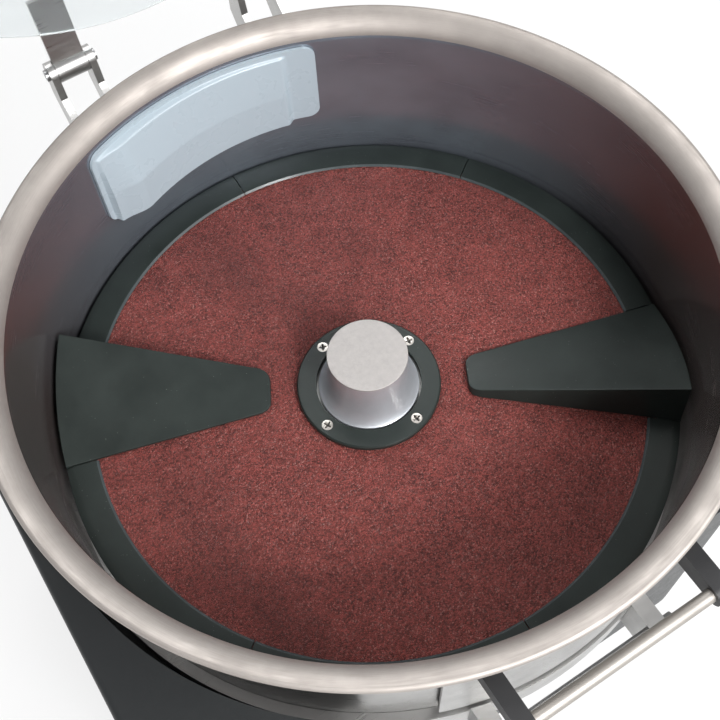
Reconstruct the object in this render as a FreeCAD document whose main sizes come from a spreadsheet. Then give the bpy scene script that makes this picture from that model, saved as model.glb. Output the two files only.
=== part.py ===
import FreeCAD, Part
import math
import os
import re
import Sketcher

# Commercial potato peeling machine: a polished drum with an abrasive disc, on a housing with the belt drive.
# Origin: on the drum's axis, at the floor. +X is right, +Y is back, +Z is up. The discharge door faces -Y.
# Levels are stacked upwards from the feet, and places round the drum follow the drum's radius.

SIZES = {
    # peeling disc
    "disc_gap": 4.0,
    "abrasive_depth": 3.0,
    "abrasive_inset": 1.5,
    "clamp_width": 22.0,
    "clamp_lip": 7.0,
    "clamp_proud": 1.5,
    "clamp_slope": 6.0,
    "segment_count": 3.0,
    "segment_gap": 0.4,
    "plate_depth": 6.0,
    "plate_skirt": 7.0,
    "sweep_height": 18.0,
    "sweep_width": 7.0,
    "sweep_gap": 4.0,
    "sweep_count": 4.0,
    "boss_radius": 30.0,
    "boss_gap": 4.0,
    "stub_wall": 5.5,
    "stub_height": 20.0,
    "stub_floor": 8.0,
    "bore_gap": 2.0,
    "disc_angle": 151.4,
    # ramps
    "ramp_half_angle": 12.6,
    "ramp_inner_radius": 68.0,
    "ramp_low_height": 2.0,
    "ramp_inner_height": 6.0,
    "ramp_outer_height": 34.0,
    "ramp_lean_share": 0.2,
    "ramp_round": 9.0,
    # hub
    "flange_width": 13.3,
    "flange_gap": 1.6,
    "flange_depth": 4.0,
    "flange_edge": 1.0,
    "hub_screw_inset": 6.4,
    "hub_screw_radius": 2.5,
    "hub_head_radius": 4.1,
    "hub_screw_length": 11.0,
    "screw_gap": 0.1,
    "knob_base_radius": 34.8,
    "knob_flare": 7.9,
    "knob_room": 8.5,
    "knob_wall": 3.5,
    "knob_web": 4.0,
    "cap_depth": 2.5,
    "cap_spigot": 5.0,
    "cap_edge": 0.6,
    # drive shaft and bearings
    "shaft_radius": 12.5,
    "shaft_edge": 1.0,
    "shoulder_rise": 2.5,
    "dog_radius": 4.0,
    "dog_inset": 5.0,
    "dog_rise": 8.0,
    "dog_gap": 1.0,
    "bearing_ring": 13.5,
    "bearing_race": 3.0,
    "bearing_recess": 1.0,
    "bearing_width": 15.0,
    "bearing_spacing": 33.0,
    "housing_wall": 10.0,
    "housing_lip": 3.0,
    "housing_bore": 4.0,
    "housing_edge": 4.0,
    "housing_rim": 24.0,
    "housing_flange_depth": 8.0,
    "housing_rib": 6.0,
    "housing_rib_start": 14.0,
    "bolt_inset": 11.0,
    "bolt_radius": 4.0,
    "bolt_head_rise": 2.5,
    "bolt_head_depth": 6.0,
    "washer_depth": 3.0,
    "washer_reach": 3.0,
    "thread_depth": 20.0,
    "running_fit": 0.05,
    "press_gap": 0.02,
    # belt drive and motor
    "pulley_radius": 80.0,
    "motor_pulley_radius": 28.0,
    "pulley_width": 20.0,
    "pulley_gap": 6.0,
    "pulley_web": 6.0,
    "pulley_rim": 5.0,
    "pulley_hub": 9.0,
    "pulley_neck": 2.0,
    "pulley_hole_radius": 12.0,
    "pulley_hole_count": 6.0,
    "groove_room": 1.0,
    "groove_flare": 1.0,
    "belt_width": 10.0,
    "belt_depth": 8.0,
    "belt_sink": 1.0,
    "belt_gap": 0.4,
    "housing_gap": 16.0,
    "motor_gap": 36.0,
    "motor_radius": 60.0,
    "motor_length": 100.0,
    "motor_edge": 4.0,
    "motor_fin": 5.0,
    "motor_fin_width": 3.0,
    "motor_fin_inset": 12.0,
    "motor_fin_count": 20.0,
    "motor_shaft_radius": 7.0,
    "motor_shaft_depth": 25.0,
    "motor_shaft_end": 2.0,
    "fan_gap": 5.0,
    "fan_cover_depth": 22.0,
    "fan_cover_wall": 2.0,
    "fan_slot_width": 6.0,
    "fan_slot_start": 15.0,
    "fan_slot_count": 10.0,
    "bracket_wall": 5.0,
    "bracket_side": 18.0,
    "bracket_end": 2.0,
    "bracket_flange": 14.0,
    "bracket_hole": 11.0,
    # drum
    "drum_radius": 216.0,
    "drum_wall": 1.5,
    "drum_rise": 125.0,
    "lip_reach": 17.0,
    "lip_hem": 5.0,
    "pan_floor": 6.0,
    "pan_skin": 1.0,
    "pan_edge": 3.0,
    "pan_gap": 33.0,
    "pan_wall": 7.0,
    "pan_wall_height": 30.0,
    "collar_gap": 3.0,
    "collar_wall": 4.0,
    "collar_height": 16.0,
    "seal_width": 11.0,
    "seal_lip": 3.0,
    "seal_depth": 7.0,
    "seal_taper": 2.0,
    "seal_seat": 2.0,
    "drum_screw_count": 6.0,
    "fit_gap": 0.2,
    "body_gap": 0.3,
    "blank_depth": 26.0,
    "margin": 1.0,
    # waste outlet
    "outlet_radius": 30.0,
    "outlet_wall": 2.5,
    "outlet_inset": 44.0,
    "outlet_angle": 60.0,
    "outlet_bend": 45.0,
    "outlet_drop": 28.0,
    "outlet_proud": 50.0,
    # water inlet and deflector
    "inlet_rise": 28.5,
    "inlet_radius": 10.5,
    "inlet_bore": 6.5,
    "inlet_proud": 44.5,
    "inlet_collar_depth": 6.0,
    "inlet_nut_radius": 16.0,
    "inlet_nut_depth": 5.0,
    "deflector_clearance": 3.5,
    "deflector_top_gap": 0.5,
    "deflector_start_angle": 66.8,
    "deflector_span_angle": 48.7,
    "deflector_side_angle": 5.6,
    "deflector_wall_angle": 0.6,
    "deflector_wall": 2.0,
    "deflector_border": 6.0,
    "deflector_depth": 29.5,
    "deflector_face_x": 11.6,
    "deflector_face_y": 20.5,
    # discharge door
    "door_half_angle": 20.0,
    "door_bottom": 4.0,
    "door_overlap": 8.0,
    "door_wall": 3.0,
    "gasket_depth": 2.0,
    "gasket_inset": 0.5,
    "door_gap": 1.5,
    "hinge_out": 14.0,
    "hinge_drop": 13.0,
    "hinge_pin_radius": 4.0,
    "hinge_pin_end": 7.0,
    "knuckle_radius": 7.5,
    "knuckle_width": 22.0,
    "strap_height": 36.0,
    "strap_depth": 4.0,
    "strap_rise": 5.0,
    "hinge_web_rise": 3.0,
    "ear_width": 12.0,
    "ear_rise": 6.0,
    "ear_inset": 16.3,
    "handle_drop": 5.0,
    "handle_out": 25.5,
    "handle_radius": 4.0,
    "handle_end": 18.0,
    "arm_inset": 12.3,
    "arm_width": 10.5,
    "arm_height": 14.0,
    # base
    "foot_height": 28.0,
    "foot_radius": 20.0,
    "foot_taper": 3.0,
    "foot_band": 11.2,
    "foot_bore": 4.5,
    "foot_neck": 9.0,
    "foot_barb": 4.0,
    "foot_barb_depth": 5.0,
    "foot_inset_x": 26.0,
    "foot_inset_y": 31.0,
    "base_reach": 30.0,
    "base_inset": 10.0,
    "base_corner": 30.0,
    "base_wall": 3.0,
    "hole_gap": 1.0,
    "slot_width": 5.0,
    "slot_length": 70.0,
    "slot_pitch": 14.0,
    "slot_rise": 32.0,
    "slot_count": 9.0,
    "gland_inset": 96.0,
    "gland_rise": 48.0,
    "gland_radius": 11.0,
    "gland_wall": 6.0,
    "gland_nut_rise": 4.0,
    "gland_nut_depth": 5.0,
    "gland_collar_depth": 8.0,
    "gland_tail": 20.0,
    "wire_inset_x": 31.0,
    "wire_inset_y": 46.0,
    # control housing
    "tower_rise": 30.0,
    "tower_width": 116.0,
    "tower_step": 86.0,
    "tower_gap": 13.5,
    "tower_corner": 8.0,
    "tower_edge": 5.0,
    "panel_depth": 3.0,
    "panel_left": 9.0,
    "panel_right": 17.0,
    "panel_border": 5.0,
    "panel_drop": 1.0,
    "button_radius": 9.0,
    "button_proud": 7.0,
    "button_tail": 7.0,
    "button_offset": 20.0,
    "button_drop": 16.0,
    "button_collar": 2.0,
    "button_collar_depth": 2.5,
    "button_travel": 4.0,
    "button_gap": 0.3,
    "bezel_width": 3.0,
    "bezel_depth": 2.5,
    "switch_width": 14.0,
    "switch_depth": 13.0,
    "switch_rise": 12.0,
    "control_gap": 2.35,
    "timer_width": 40.0,
    "timer_depth": 28.0,
    "timer_height": 26.0,
    "knob_rise": 15.0,
    "knob_radius": 15.0,
    "knob_depth": 14.0,
    "knob_skirt": 4.0,
    "knob_grip_inset": 4.0,
    "knob_bar_step": 3.0,
    "knob_bar_width": 6.0,
    "knob_bar_drop": 10.0,
    "knob_bar_height": 22.0,
    "spindle_radius": 3.0,
    # lid
    "lid_overlap": 4.0,
    "lid_wall": 3.0,
    "lid_flange": 34.0,
    "lid_dome": 44.0,
    "lid_gap": 0.3,
    "lid_open_angle": 100.0,
    "lid_hinge_out": 17.0,
    "lid_hinge_rise": 6.0,
    "lid_arm_x": 70.0,
    "lid_arm_width": 22.0,
    "lid_arm_depth": 4.0,
    "lid_arm_overlap": 3.0,
    "lid_pin_radius": 4.0,
    "lid_pin_end": 2.0,
    "lid_barrel_radius": 8.0,
    "lid_ear": 5.0,
    "lid_ear_drop": 55.0,
    "lid_ear_foot": 33.0,
    "lid_ear_throat": 9.0,
    "lid_ear_neck": 3.0,
    "lid_ear_reach": 6.0,
    "lid_ear_back": 20.0,
    "lid_ear_shoulder": 18.0,
    "lid_handle_radius": 6.0,
    "lid_handle_height": 26.0,
    "lid_handle_length": 100.0,
    "lid_handle_gap": 2.5,
}

# Levels, radii and places that follow from the sizes above.
DERIVED = {
    "cover_top": "foot_height + base_wall",
    "motor_bottom": "cover_top + fan_gap + fan_cover_depth",
    "motor_top": "motor_bottom + motor_length",
    "pulley_bottom": "motor_top + bracket_wall + pulley_gap",
    "pulley_top": "pulley_bottom + pulley_width",
    "belt_middle": "pulley_bottom + pulley_width / 2",
    "belt_bottom": "belt_middle - belt_width / 2",
    "groove_depth": "belt_sink + belt_depth + groove_room",
    "shaft_bottom": "pulley_bottom + shaft_edge",
    "housing_bottom": "pulley_top + housing_gap",
    "lower_bearing": "housing_bottom + housing_lip",
    "upper_bearing": "lower_bearing + bearing_width + bearing_spacing",
    "housing_top": "upper_bearing + bearing_width + housing_flange_depth",
    "deck_bottom": "housing_top",
    "pan_bottom": "deck_bottom + base_wall",
    "pan_top": "pan_bottom + pan_floor",
    "boss_bottom": "pan_top + boss_gap",
    "plate_bottom": "pan_top + pan_gap",
    "plate_top": "plate_bottom + plate_depth",
    "disc_level": "plate_top + abrasive_depth",
    "stub_top": "plate_top + stub_height",
    "shaft_top": "stub_top - stub_floor",
    "dog_level": "boss_bottom + dog_rise",
    "dog_length": "2 * (boss_radius - dog_inset)",
    "stub_radius": "shaft_radius + stub_wall",
    "shoulder_radius": "shaft_radius + shoulder_rise",
    "bearing_outer_radius": "shaft_radius + bearing_ring",
    "housing_radius": "bearing_outer_radius + housing_wall",
    "housing_flange_radius": "housing_radius + housing_rim",
    "housing_bolt_circle": "housing_flange_radius - bolt_inset",
    "collar_radius": "boss_radius + collar_gap",
    "seal_radius": "shaft_radius + seal_width",
    "disc_radius": "drum_radius - disc_gap",
    "clamp_inner_radius": "disc_radius - clamp_width",
    "clamp_seat_radius": "clamp_inner_radius + clamp_lip",
    "abrasive_radius": "clamp_seat_radius - fit_gap",
    "clamp_top": "disc_level + clamp_proud",
    "segment_angle": "(180 - 2 * ramp_half_angle) / segment_count",
    "flange_hole_radius": "knob_base_radius + flange_gap",
    "flange_radius": "flange_hole_radius + flange_width",
    "flange_top": "disc_level + flange_depth",
    "hub_screw_circle": "flange_hole_radius + hub_screw_inset",
    "knob_top_radius": "knob_base_radius - knob_flare",
    "knob_seat": "stub_top + knob_web",
    "cap_level": "knob_seat + bolt_head_depth + knob_room + cap_spigot",
    "knob_top": "cap_level + cap_depth",
    "drum_outer_radius": "drum_radius + drum_wall",
    "drum_top": "disc_level + drum_rise",
    "lip_radius": "drum_radius + lip_reach",
    "blank_radius": "drum_radius - blank_depth",
    "pan_inner_radius": "drum_outer_radius + fit_gap",
    "pan_outer_radius": "pan_inner_radius + pan_wall",
    "slot_low": "foot_height + slot_rise",
    "drum_screw_level": "pan_top + pan_wall_height / 2",
    "base_left": "drum_radius + base_reach",
    "base_right": "drum_radius - base_inset",
    "base_back": "drum_radius - base_inset",
    "control_edge": "base_left - panel_left - panel_width / 2 - button_offset - switch_width / 2",
    "control_curve": "tower_radius + base_wall + body_gap",
    "control_limit": "sqrt((control_curve) * (control_curve) - (control_edge) * (control_edge))",
    "switch_start": "button_length + button_travel + body_gap - button_proud - panel_depth",
    "base_front": "control_limit + control_gap + switch_depth + switch_start",
    "foot_x": "base_right - foot_inset_x",
    "foot_y": "base_front - foot_inset_y",
    "gland_x": "gland_inset - base_left",
    "gland_level": "foot_height + gland_rise",
    "bracket_half_width": "motor_radius + bracket_side",
    "bracket_half_length": "motor_radius + bracket_end",
    "belt_centres": "base_left - motor_radius - motor_gap",
    "outlet_x": "(drum_radius - outlet_inset) * cos(outlet_angle)",
    "outlet_y": "(drum_radius - outlet_inset) * sin(outlet_angle)",
    "outlet_level": "pan_top - outlet_drop - outlet_bend",
    "outlet_end": "base_back + outlet_proud",
    "deflector_level": "disc_level + ramp_outer_height + deflector_clearance",
    "deflector_height": "drum_top - lip_reach - deflector_top_gap - deflector_level",
    "deflector_face_radius": "drum_radius - deflector_depth",
    "inlet_level": "deflector_level + inlet_rise",
    "inlet_flat": "sqrt(drum_radius * drum_radius - inlet_nut_radius * inlet_nut_radius)",
    "inlet_start": "inlet_flat - inlet_nut_depth - body_gap",
    "inlet_end": "drum_outer_radius + inlet_proud",
    "door_level": "disc_level + door_bottom",
    "door_top": "drum_top - lip_reach - door_overlap",
    "door_height": "door_top - door_level",
    "door_face_radius": "drum_outer_radius + body_gap + gasket_depth",
    "door_sheet_radius": "door_face_radius + fit_gap",
    "door_outer_radius": "door_sheet_radius + door_wall",
    "door_half_width": "door_outer_radius * sin(door_half_angle)",
    "hinge_y": "-(door_outer_radius + hinge_out)",
    "hinge_level": "disc_level - hinge_drop",
    "ear_x": "door_half_width - ear_inset",
    "knuckle_x": "ear_x - ear_width / 2 - body_gap - knuckle_width / 2",
    "hinge_half_length": "ear_x + ear_width / 2 + hinge_pin_end",
    "arm_x": "door_half_width - arm_inset",
    "handle_half_length": "arm_x + handle_end",
    "handle_y": "-(door_outer_radius + handle_out)",
    "handle_level": "door_top - handle_drop",
    "tower_top": "disc_level + tower_rise",
    "tower_right": "base_left - tower_width",
    "tower_back": "base_back - tower_step",
    "tower_radius": "drum_outer_radius + tower_gap",
    "panel_width": "tower_width - panel_left - panel_right",
    "panel_x": "panel_left + panel_width / 2 - base_left",
    "panel_face": "-base_front - panel_depth",
    "panel_height": "tower_top - pan_bottom - 2 * panel_border",
    "panel_level": "(pan_bottom + tower_top) / 2 - panel_drop",
    "button_level": "panel_level - button_drop",
    "knob_level": "panel_level + knob_rise",
    "button_length": "button_proud + panel_depth + base_wall + button_tail",
    "lid_radius": "lip_radius + lid_overlap",
    "dome_radius": "lid_radius - lid_flange",
    "lid_level": "drum_top + lid_gap",
    "lid_hinge_y": "lid_radius + lid_hinge_out",
    "lid_hinge_level": "drum_top + lid_hinge_rise",
}

doc = FreeCAD.newDocument("PotatoPeeler")
sheet = doc.addObject("Spreadsheet::Sheet", "Sizes")
parts = []


def fill_sheet():
    """Write the driving sizes, one row each, with an alias per cell."""
    for row, (name, value) in enumerate(SIZES.items(), 1):
        sheet.set(f"A{row}", name)
        sheet.set(f"B{row}", str(value))
        sheet.setAlias(f"B{row}", name)
    doc.recompute()


def formula(text):
    """Turn the plain names in an expression into cells of the sheet."""

    def swap(found):
        name = found.group(0)
        if name in DERIVED:
            return "(" + formula(DERIVED[name]) + ")"
        if name in SIZES:
            return "Sizes." + name
        return name

    return re.sub(r"[a-z_]+", swap, str(text))


def value(text):
    """The number that an expression has now."""
    return float(sheet.evalExpression(formula(text)))


def bind(item, **expressions):
    """Bind properties to expressions; a double underscore stands for a dot in the property's name."""
    for name, text in expressions.items():
        item.setExpression(name.replace("__", "."), formula(text))
    return item


def new_body(label):
    body = doc.addObject("PartDesign::Body", label + "_body")
    body.Label = label
    return body


def plane(body, role):
    return next(item for item in body.Origin.OriginFeatures if item.Role == role)


def new_sketch(body, role, level="0"):
    """A sketch on one of the body's origin planes, moved along the plane's normal."""
    sketch = body.newObject("Sketcher::SketchObject", "Sketch")
    sketch.AttachmentSupport = [(plane(body, role), "")]
    sketch.MapMode = "FlatFace"
    bind(sketch, AttachmentOffset__Base__z=level)
    return sketch


def hold(sketch, kind, geometry, point, text):
    """Set a point's signed distance from the origin along X or Y."""
    now = value(text)
    if abs(now) < 1e-9:
        axis = -2 if kind == "DistanceX" else -1
        sketch.addConstraint(Sketcher.Constraint("PointOnObject", geometry, point, axis))
    elif now > 0:
        index = sketch.addConstraint(Sketcher.Constraint(kind, -1, 1, geometry, point, now))
        sketch.setExpression(f"Constraints[{index}]", formula(text))
    else:
        index = sketch.addConstraint(Sketcher.Constraint(kind, geometry, point, -1, 1, -now))
        sketch.setExpression(f"Constraints[{index}]", formula(f"-({text})"))


def outline(sketch, points):
    """A closed outline of straight lines through points given as pairs of expressions."""
    places = [FreeCAD.Vector(value(x), value(y), 0) for x, y in points]
    first = sketch.GeometryCount
    count = len(points)
    for index in range(count):
        sketch.addGeometry(Part.LineSegment(places[index], places[(index + 1) % count]), False)
    for index, (x, y) in enumerate(points):
        line = first + index
        following = first + (index + 1) % count
        sketch.addConstraint(Sketcher.Constraint("Coincident", line, 2, following, 1))
        hold(sketch, "DistanceX", line, 1, x)
        hold(sketch, "DistanceY", line, 1, y)


def circle(sketch, x, y, radius):
    place = FreeCAD.Vector(value(x), value(y), 0)
    line = sketch.addGeometry(Part.Circle(place, FreeCAD.Vector(0, 0, 1), value(radius)), False)
    index = sketch.addConstraint(Sketcher.Constraint("Radius", line, value(radius)))
    sketch.setExpression(f"Constraints[{index}]", formula(radius))
    hold(sketch, "DistanceX", line, 3, x)
    hold(sketch, "DistanceY", line, 3, y)


def arc(sketch, x, y, radius, start, end):
    """An arc, counter-clockwise between two angles in radians; point 1 is its start, point 2 its end."""
    ring = Part.Circle(FreeCAD.Vector(x, y, 0), FreeCAD.Vector(0, 0, 1), radius)
    return sketch.addGeometry(Part.ArcOfCircle(ring, start, end), False)


def rectangle(sketch, left, right, low, high):
    outline(sketch, [(left, low), (right, low), (right, high), (left, high)])


def bar(sketch, start, end, width):
    """A bar that lies along the sketch's X axis."""
    rectangle(sketch, start, end, f"-({width}) / 2", f"({width}) / 2")


def turn(body, points, angle="360"):
    """Revolve an outline of (radius, level) pairs about the body's Z axis."""
    sketch = new_sketch(body, "XZ_Plane")
    outline(sketch, points)
    feature = body.newObject("PartDesign::Revolution", "Turned")
    feature.Profile = sketch
    feature.ReferenceAxis = (sketch, ["V_Axis"])
    bind(feature, Angle=angle)
    doc.recompute()
    return feature


def pad(body, role, level, depth, draw):
    """Pad what draw(sketch) puts on a plane, by depth along the plane's normal."""
    sketch = new_sketch(body, role, level)
    draw(sketch)
    feature = body.newObject("PartDesign::Pad", "Pad")
    feature.Profile = sketch
    bind(feature, Length=depth)
    doc.recompute()
    return feature


def pocket(body, role, level, depth, draw, along=False):
    """Cut what draw(sketch) puts on a plane; a pocket goes against the plane's normal unless along is set."""
    sketch = new_sketch(body, role, level)
    draw(sketch)
    doc.recompute()
    before = body.Shape.Volume
    feature = body.newObject("PartDesign::Pocket", "Pocket")
    feature.Profile = sketch
    feature.Reversed = along
    bind(feature, Length=depth)
    doc.recompute()
    if body.Shape.Volume > before - 1e-3:
        raise RuntimeError(f"{body.Label}: a pocket cuts nothing")
    return feature


def drill(body, role, level, depth, x, y, radius, along=False):
    """A round hole from a plane, its centre at (x, y) in the plane."""
    return pocket(body, role, level, depth, lambda sketch: circle(sketch, x, y, radius), along)


def ring_pattern(body, features, count, angle="360"):
    """Repeat features about the body's Z axis."""
    feature = body.newObject("PartDesign::PolarPattern", "Ring")
    feature.Originals = features
    feature.Axis = (plane(body, "Z_Axis"), [""])
    bind(feature, Angle=angle, Occurrences=count)
    body.Tip = feature
    doc.recompute()
    return feature


def row_pattern(body, features, axis, length, count):
    """Repeat features along one of the body's axes."""
    feature = body.newObject("PartDesign::LinearPattern", "Row")
    feature.Originals = features
    feature.Direction = (plane(body, axis), [""])
    bind(feature, Length=length, Occurrences=count)
    body.Tip = feature
    doc.recompute()
    return feature


def round_edges(body, radius, pick):
    """Fillet the edges of the body for which pick(edge) is true."""
    base = body.Tip
    names = [f"Edge{index}" for index, edge in enumerate(base.Shape.Edges, 1) if pick(edge)]
    feature = body.newObject("PartDesign::Fillet", "Round")
    feature.Base = (base, names)
    bind(feature, Radius=radius)
    doc.recompute()
    return feature


def upright(edge):
    """True for a straight edge along Z."""
    ends = [vertex.Point for vertex in edge.Vertexes]
    if len(ends) != 2 or edge.Curve.TypeId != "Part::GeomLine":
        return False
    step = ends[1] - ends[0]
    return abs(step.x) < 1e-6 and abs(step.y) < 1e-6


def block(label, left, right, low, high, bottom, depth, corner=None):
    """A block with rounded upright corners."""
    body = new_body(label)
    pad(body, "XY_Plane", bottom, depth, lambda sketch: rectangle(sketch, left, right, low, high))
    if corner:
        round_edges(body, corner, upright)
    return body


def cylinder(label, radius, bottom, depth, x="0", y="0", angle="360", turned="0"):
    """A plain cylinder or sector along Z."""
    item = doc.addObject("Part::Cylinder", label)
    item.Label = label
    bind(item, Radius=radius, Height=depth, Angle=angle)
    item.Placement.Rotation = FreeCAD.Rotation(FreeCAD.Vector(0, 0, 1), 0)
    bind(item, Placement__Base__x=x, Placement__Base__y=y, Placement__Base__z=bottom)
    if turned != "0":
        item.Placement.Rotation = FreeCAD.Rotation(FreeCAD.Vector(0, 0, 1), value(turned))
        bind(item, Placement__Rotation__Angle=turned)
    return item


def rod(label, radius, start, length, direction, x="0", y="0", z="0"):
    """A cylinder along X or Y; start is where it begins on that axis."""
    item = doc.addObject("Part::Cylinder", label)
    item.Label = label
    bind(item, Radius=radius, Height=length)
    if direction == "X":
        item.Placement.Rotation = FreeCAD.Rotation(FreeCAD.Vector(0, 1, 0), 90)
        bind(item, Placement__Base__x=start, Placement__Base__y=y, Placement__Base__z=z)
    else:
        item.Placement.Rotation = FreeCAD.Rotation(FreeCAD.Vector(1, 0, 0), -90)
        bind(item, Placement__Base__x=x, Placement__Base__y=start, Placement__Base__z=z)
    return item


def combine(kind, label, base, tool):
    """Part boolean of two objects: Cut, Fuse or Common."""
    item = doc.addObject("Part::" + kind, label + "_" + kind.lower())
    item.Label = label
    item.Base = base
    item.Tool = tool
    doc.recompute()
    return item


def gather(label, items):
    """Several separate solids under one label."""
    item = doc.addObject("Part::Compound", label + "_group")
    item.Label = label
    item.Links = items
    doc.recompute()
    return item


def swing(item, angle, y, level):
    """Open an object drawn shut: turn it about the line along X at (y, level), its front going up."""
    item.Placement.Rotation = FreeCAD.Rotation(FreeCAD.Vector(-1, 0, 0), value(angle))
    bind(
        item,
        Placement__Rotation__Angle=angle,
        Placement__Base__y=f"({y}) - (({y}) * cos({angle}) + ({level}) * sin({angle}))",
        Placement__Base__z=f"({level}) - (({level}) * cos({angle}) - ({y}) * sin({angle}))",
    )
    return item


def spin(item, angle):
    """Turn an object about the drum's axis."""
    item.Placement.Rotation = FreeCAD.Rotation(FreeCAD.Vector(0, 0, 1), value(angle))
    bind(item, Placement__Rotation__Angle=angle)
    return item


def add(item, name):
    """Record a finished sub-part under the name of its node."""
    item.Label = name
    parts.append((name, item))
    return item


def sector(label, inner, outer, bottom, depth, start, span):
    """A piece of a ring: from inner to outer radius, beginning at the angle start."""
    whole = cylinder(label + "_outer", outer, bottom, depth, angle=span, turned=start)
    hollow = cylinder(label + "_inner", inner, f"({bottom}) - 1", f"({depth}) + 2")
    return combine("Cut", label, whole, hollow)


def screw(label, x, y, top, head_radius, radius, length):
    """An upright screw with a countersunk head at the top."""
    head = doc.addObject("Part::Cone", label + "_head")
    bind(head, Radius1=radius, Radius2=head_radius, Height=f"({head_radius}) - ({radius})")
    bind(head, Placement__Base__z=f"({top}) - ({head_radius}) + ({radius})")
    bind(head, Placement__Base__x=x, Placement__Base__y=y)
    shank = cylinder(label + "_shank", radius, f"({top}) - ({length})", length, x, y)
    return combine("Fuse", label, head, shank)


def corners(x, y=None):
    """The four places at plus and minus x, plus and minus y."""
    y = y or x
    return [(x, y), (f"-{x}", y), (f"-{x}", f"-{y}"), (x, f"-{y}")]


def hub_places():
    """The four hub screws, on a circle at 45 degrees to the ramps."""
    return corners("hub_screw_circle * sqrt(0.5)")


def disc_plate():
    body = new_body("disc_plate")
    bore = "shaft_radius + running_fit"
    turn(
        body,
        [
            (bore, "boss_bottom"),
            ("boss_radius", "boss_bottom"),
            ("boss_radius", "plate_bottom"),
            ("disc_radius - plate_depth", "plate_bottom"),
            ("disc_radius - plate_depth", "plate_bottom - plate_skirt"),
            ("disc_radius", "plate_bottom - plate_skirt"),
            ("disc_radius", "plate_top"),
            ("stub_radius", "plate_top"),
            ("stub_radius", "stub_top"),
            ("bolt_radius", "stub_top"),
            ("bolt_radius", "shaft_top + bore_gap"),
            (bore, "shaft_top + bore_gap"),
        ],
    )
    rib = pad(
        body,
        "XY_Plane",
        "plate_bottom - sweep_height",
        "sweep_height",
        lambda sketch: bar(
            sketch, "collar_radius + collar_wall + sweep_gap", "disc_radius - plate_depth", "sweep_width"
        ),
    )
    ring_pattern(body, [rib], "sweep_count")
    pocket(
        body,
        "XY_Plane",
        "boss_bottom",
        "dog_level + dog_radius + fit_gap - boss_bottom",
        lambda sketch: rectangle(
            sketch,
            "-dog_length / 2 - dog_gap",
            "dog_length / 2 + dog_gap",
            "-dog_radius - fit_gap",
            "dog_radius + fit_gap",
        ),
        along=True,
    )
    x, y = hub_places()[0]
    hole = drill(body, "XY_Plane", "plate_top", "plate_depth", x, y, "hub_screw_radius + screw_gap")
    ring_pattern(body, [hole], "4")
    return add(spin(body, "disc_angle"), "disc_plate")


def abrasive_sheet():
    body = new_body("abrasive_sheet")
    inner = "flange_hole_radius + abrasive_inset"
    outline_points = [(inner, "plate_top"), ("abrasive_radius", "plate_top")]
    outline_points += [("abrasive_radius", "disc_level"), (inner, "disc_level")]
    turn(body, outline_points)
    x, y = hub_places()[0]
    hole = drill(body, "XY_Plane", "disc_level", "abrasive_depth", x, y, "hub_screw_radius + screw_gap")
    ring_pattern(body, [hole], "4")
    return add(spin(body, "disc_angle"), "abrasive_sheet")


def clamp_segment(number):
    """One of the dark segments that hold the edge of the abrasive sheet: a foot with a lip over the sheet."""
    body = new_body(f"clamp_segment_{number}")
    turn(
        body,
        [
            ("clamp_seat_radius", "plate_top"),
            ("disc_radius", "plate_top"),
            ("disc_radius", "disc_level - clamp_proud / 2"),
            ("disc_radius - clamp_slope", "clamp_top"),
            ("clamp_inner_radius + clamp_proud", "clamp_top"),
            ("clamp_inner_radius", "disc_level"),
            ("clamp_seat_radius", "disc_level"),
        ],
        "segment_angle - segment_gap / 2",
    )
    half = "180" if number > value("segment_count") else "0"
    step = (number - 1) % int(value("segment_count"))
    spin(body, f"disc_angle + {half} + ramp_half_angle + segment_gap / 4 + {step} * segment_angle")
    return add(body, f"clamp_segment_{number}")


def ramp_wedge(label):
    """The ramp's slope as a loft: low along its leading side, rising outwards along its trailing side."""
    body = new_body(label)
    side = "tan(ramp_half_angle - segment_gap / 4)"
    rise = "(ramp_outer_height - ramp_inner_height) / (disc_radius - ramp_inner_radius)"
    sketches = []
    for distance in ("(ramp_inner_radius - 2 * margin)", "(disc_radius + 3 * margin)"):
        height = f"(ramp_inner_height + ({distance} / cos(ramp_half_angle) - ramp_inner_radius) * {rise})"
        sketch = new_sketch(body, "YZ_Plane", distance)
        outline(
            sketch,
            [
                (f"-{distance} * {side}", "disc_level"),
                (f"{distance} * {side} + margin", "disc_level"),
                (f"{distance} * {side} + margin", "disc_level + ramp_low_height"),
                (f"-{distance} * {side} + ramp_lean_share * {height}", f"disc_level + {height}"),
            ],
        )
        sketches.append(sketch)
    doc.recompute()
    loft = body.newObject("PartDesign::AdditiveLoft", "Loft")
    loft.Profile = sketches[0]
    loft.Sections = [sketches[1]]
    loft.Ruled = True
    doc.recompute()
    return body


def ramp_plan(label):
    """The ramp's outline from above as a prism: a wedge with its two inner corners rounded."""
    body = new_body(label)
    side = "tan(ramp_half_angle - segment_gap / 4)"
    inner = "ramp_inner_radius"
    outer = "(disc_radius + 5 * margin)"
    plan = [(inner, f"-{inner} * {side} - margin"), (outer, f"-{outer} * {side} - margin")]
    plan += [(outer, f"{outer} * {side}"), (inner, f"{inner} * {side}")]
    pad(body, "XY_Plane", "disc_level", "2 * ramp_outer_height", lambda sketch: outline(sketch, plan))
    limit = value(f"{inner} + margin")

    def inner_corner(edge):
        return upright(edge) and edge.Vertexes[0].Point.x < limit

    round_edges(body, "ramp_round", inner_corner)
    return body


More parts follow.
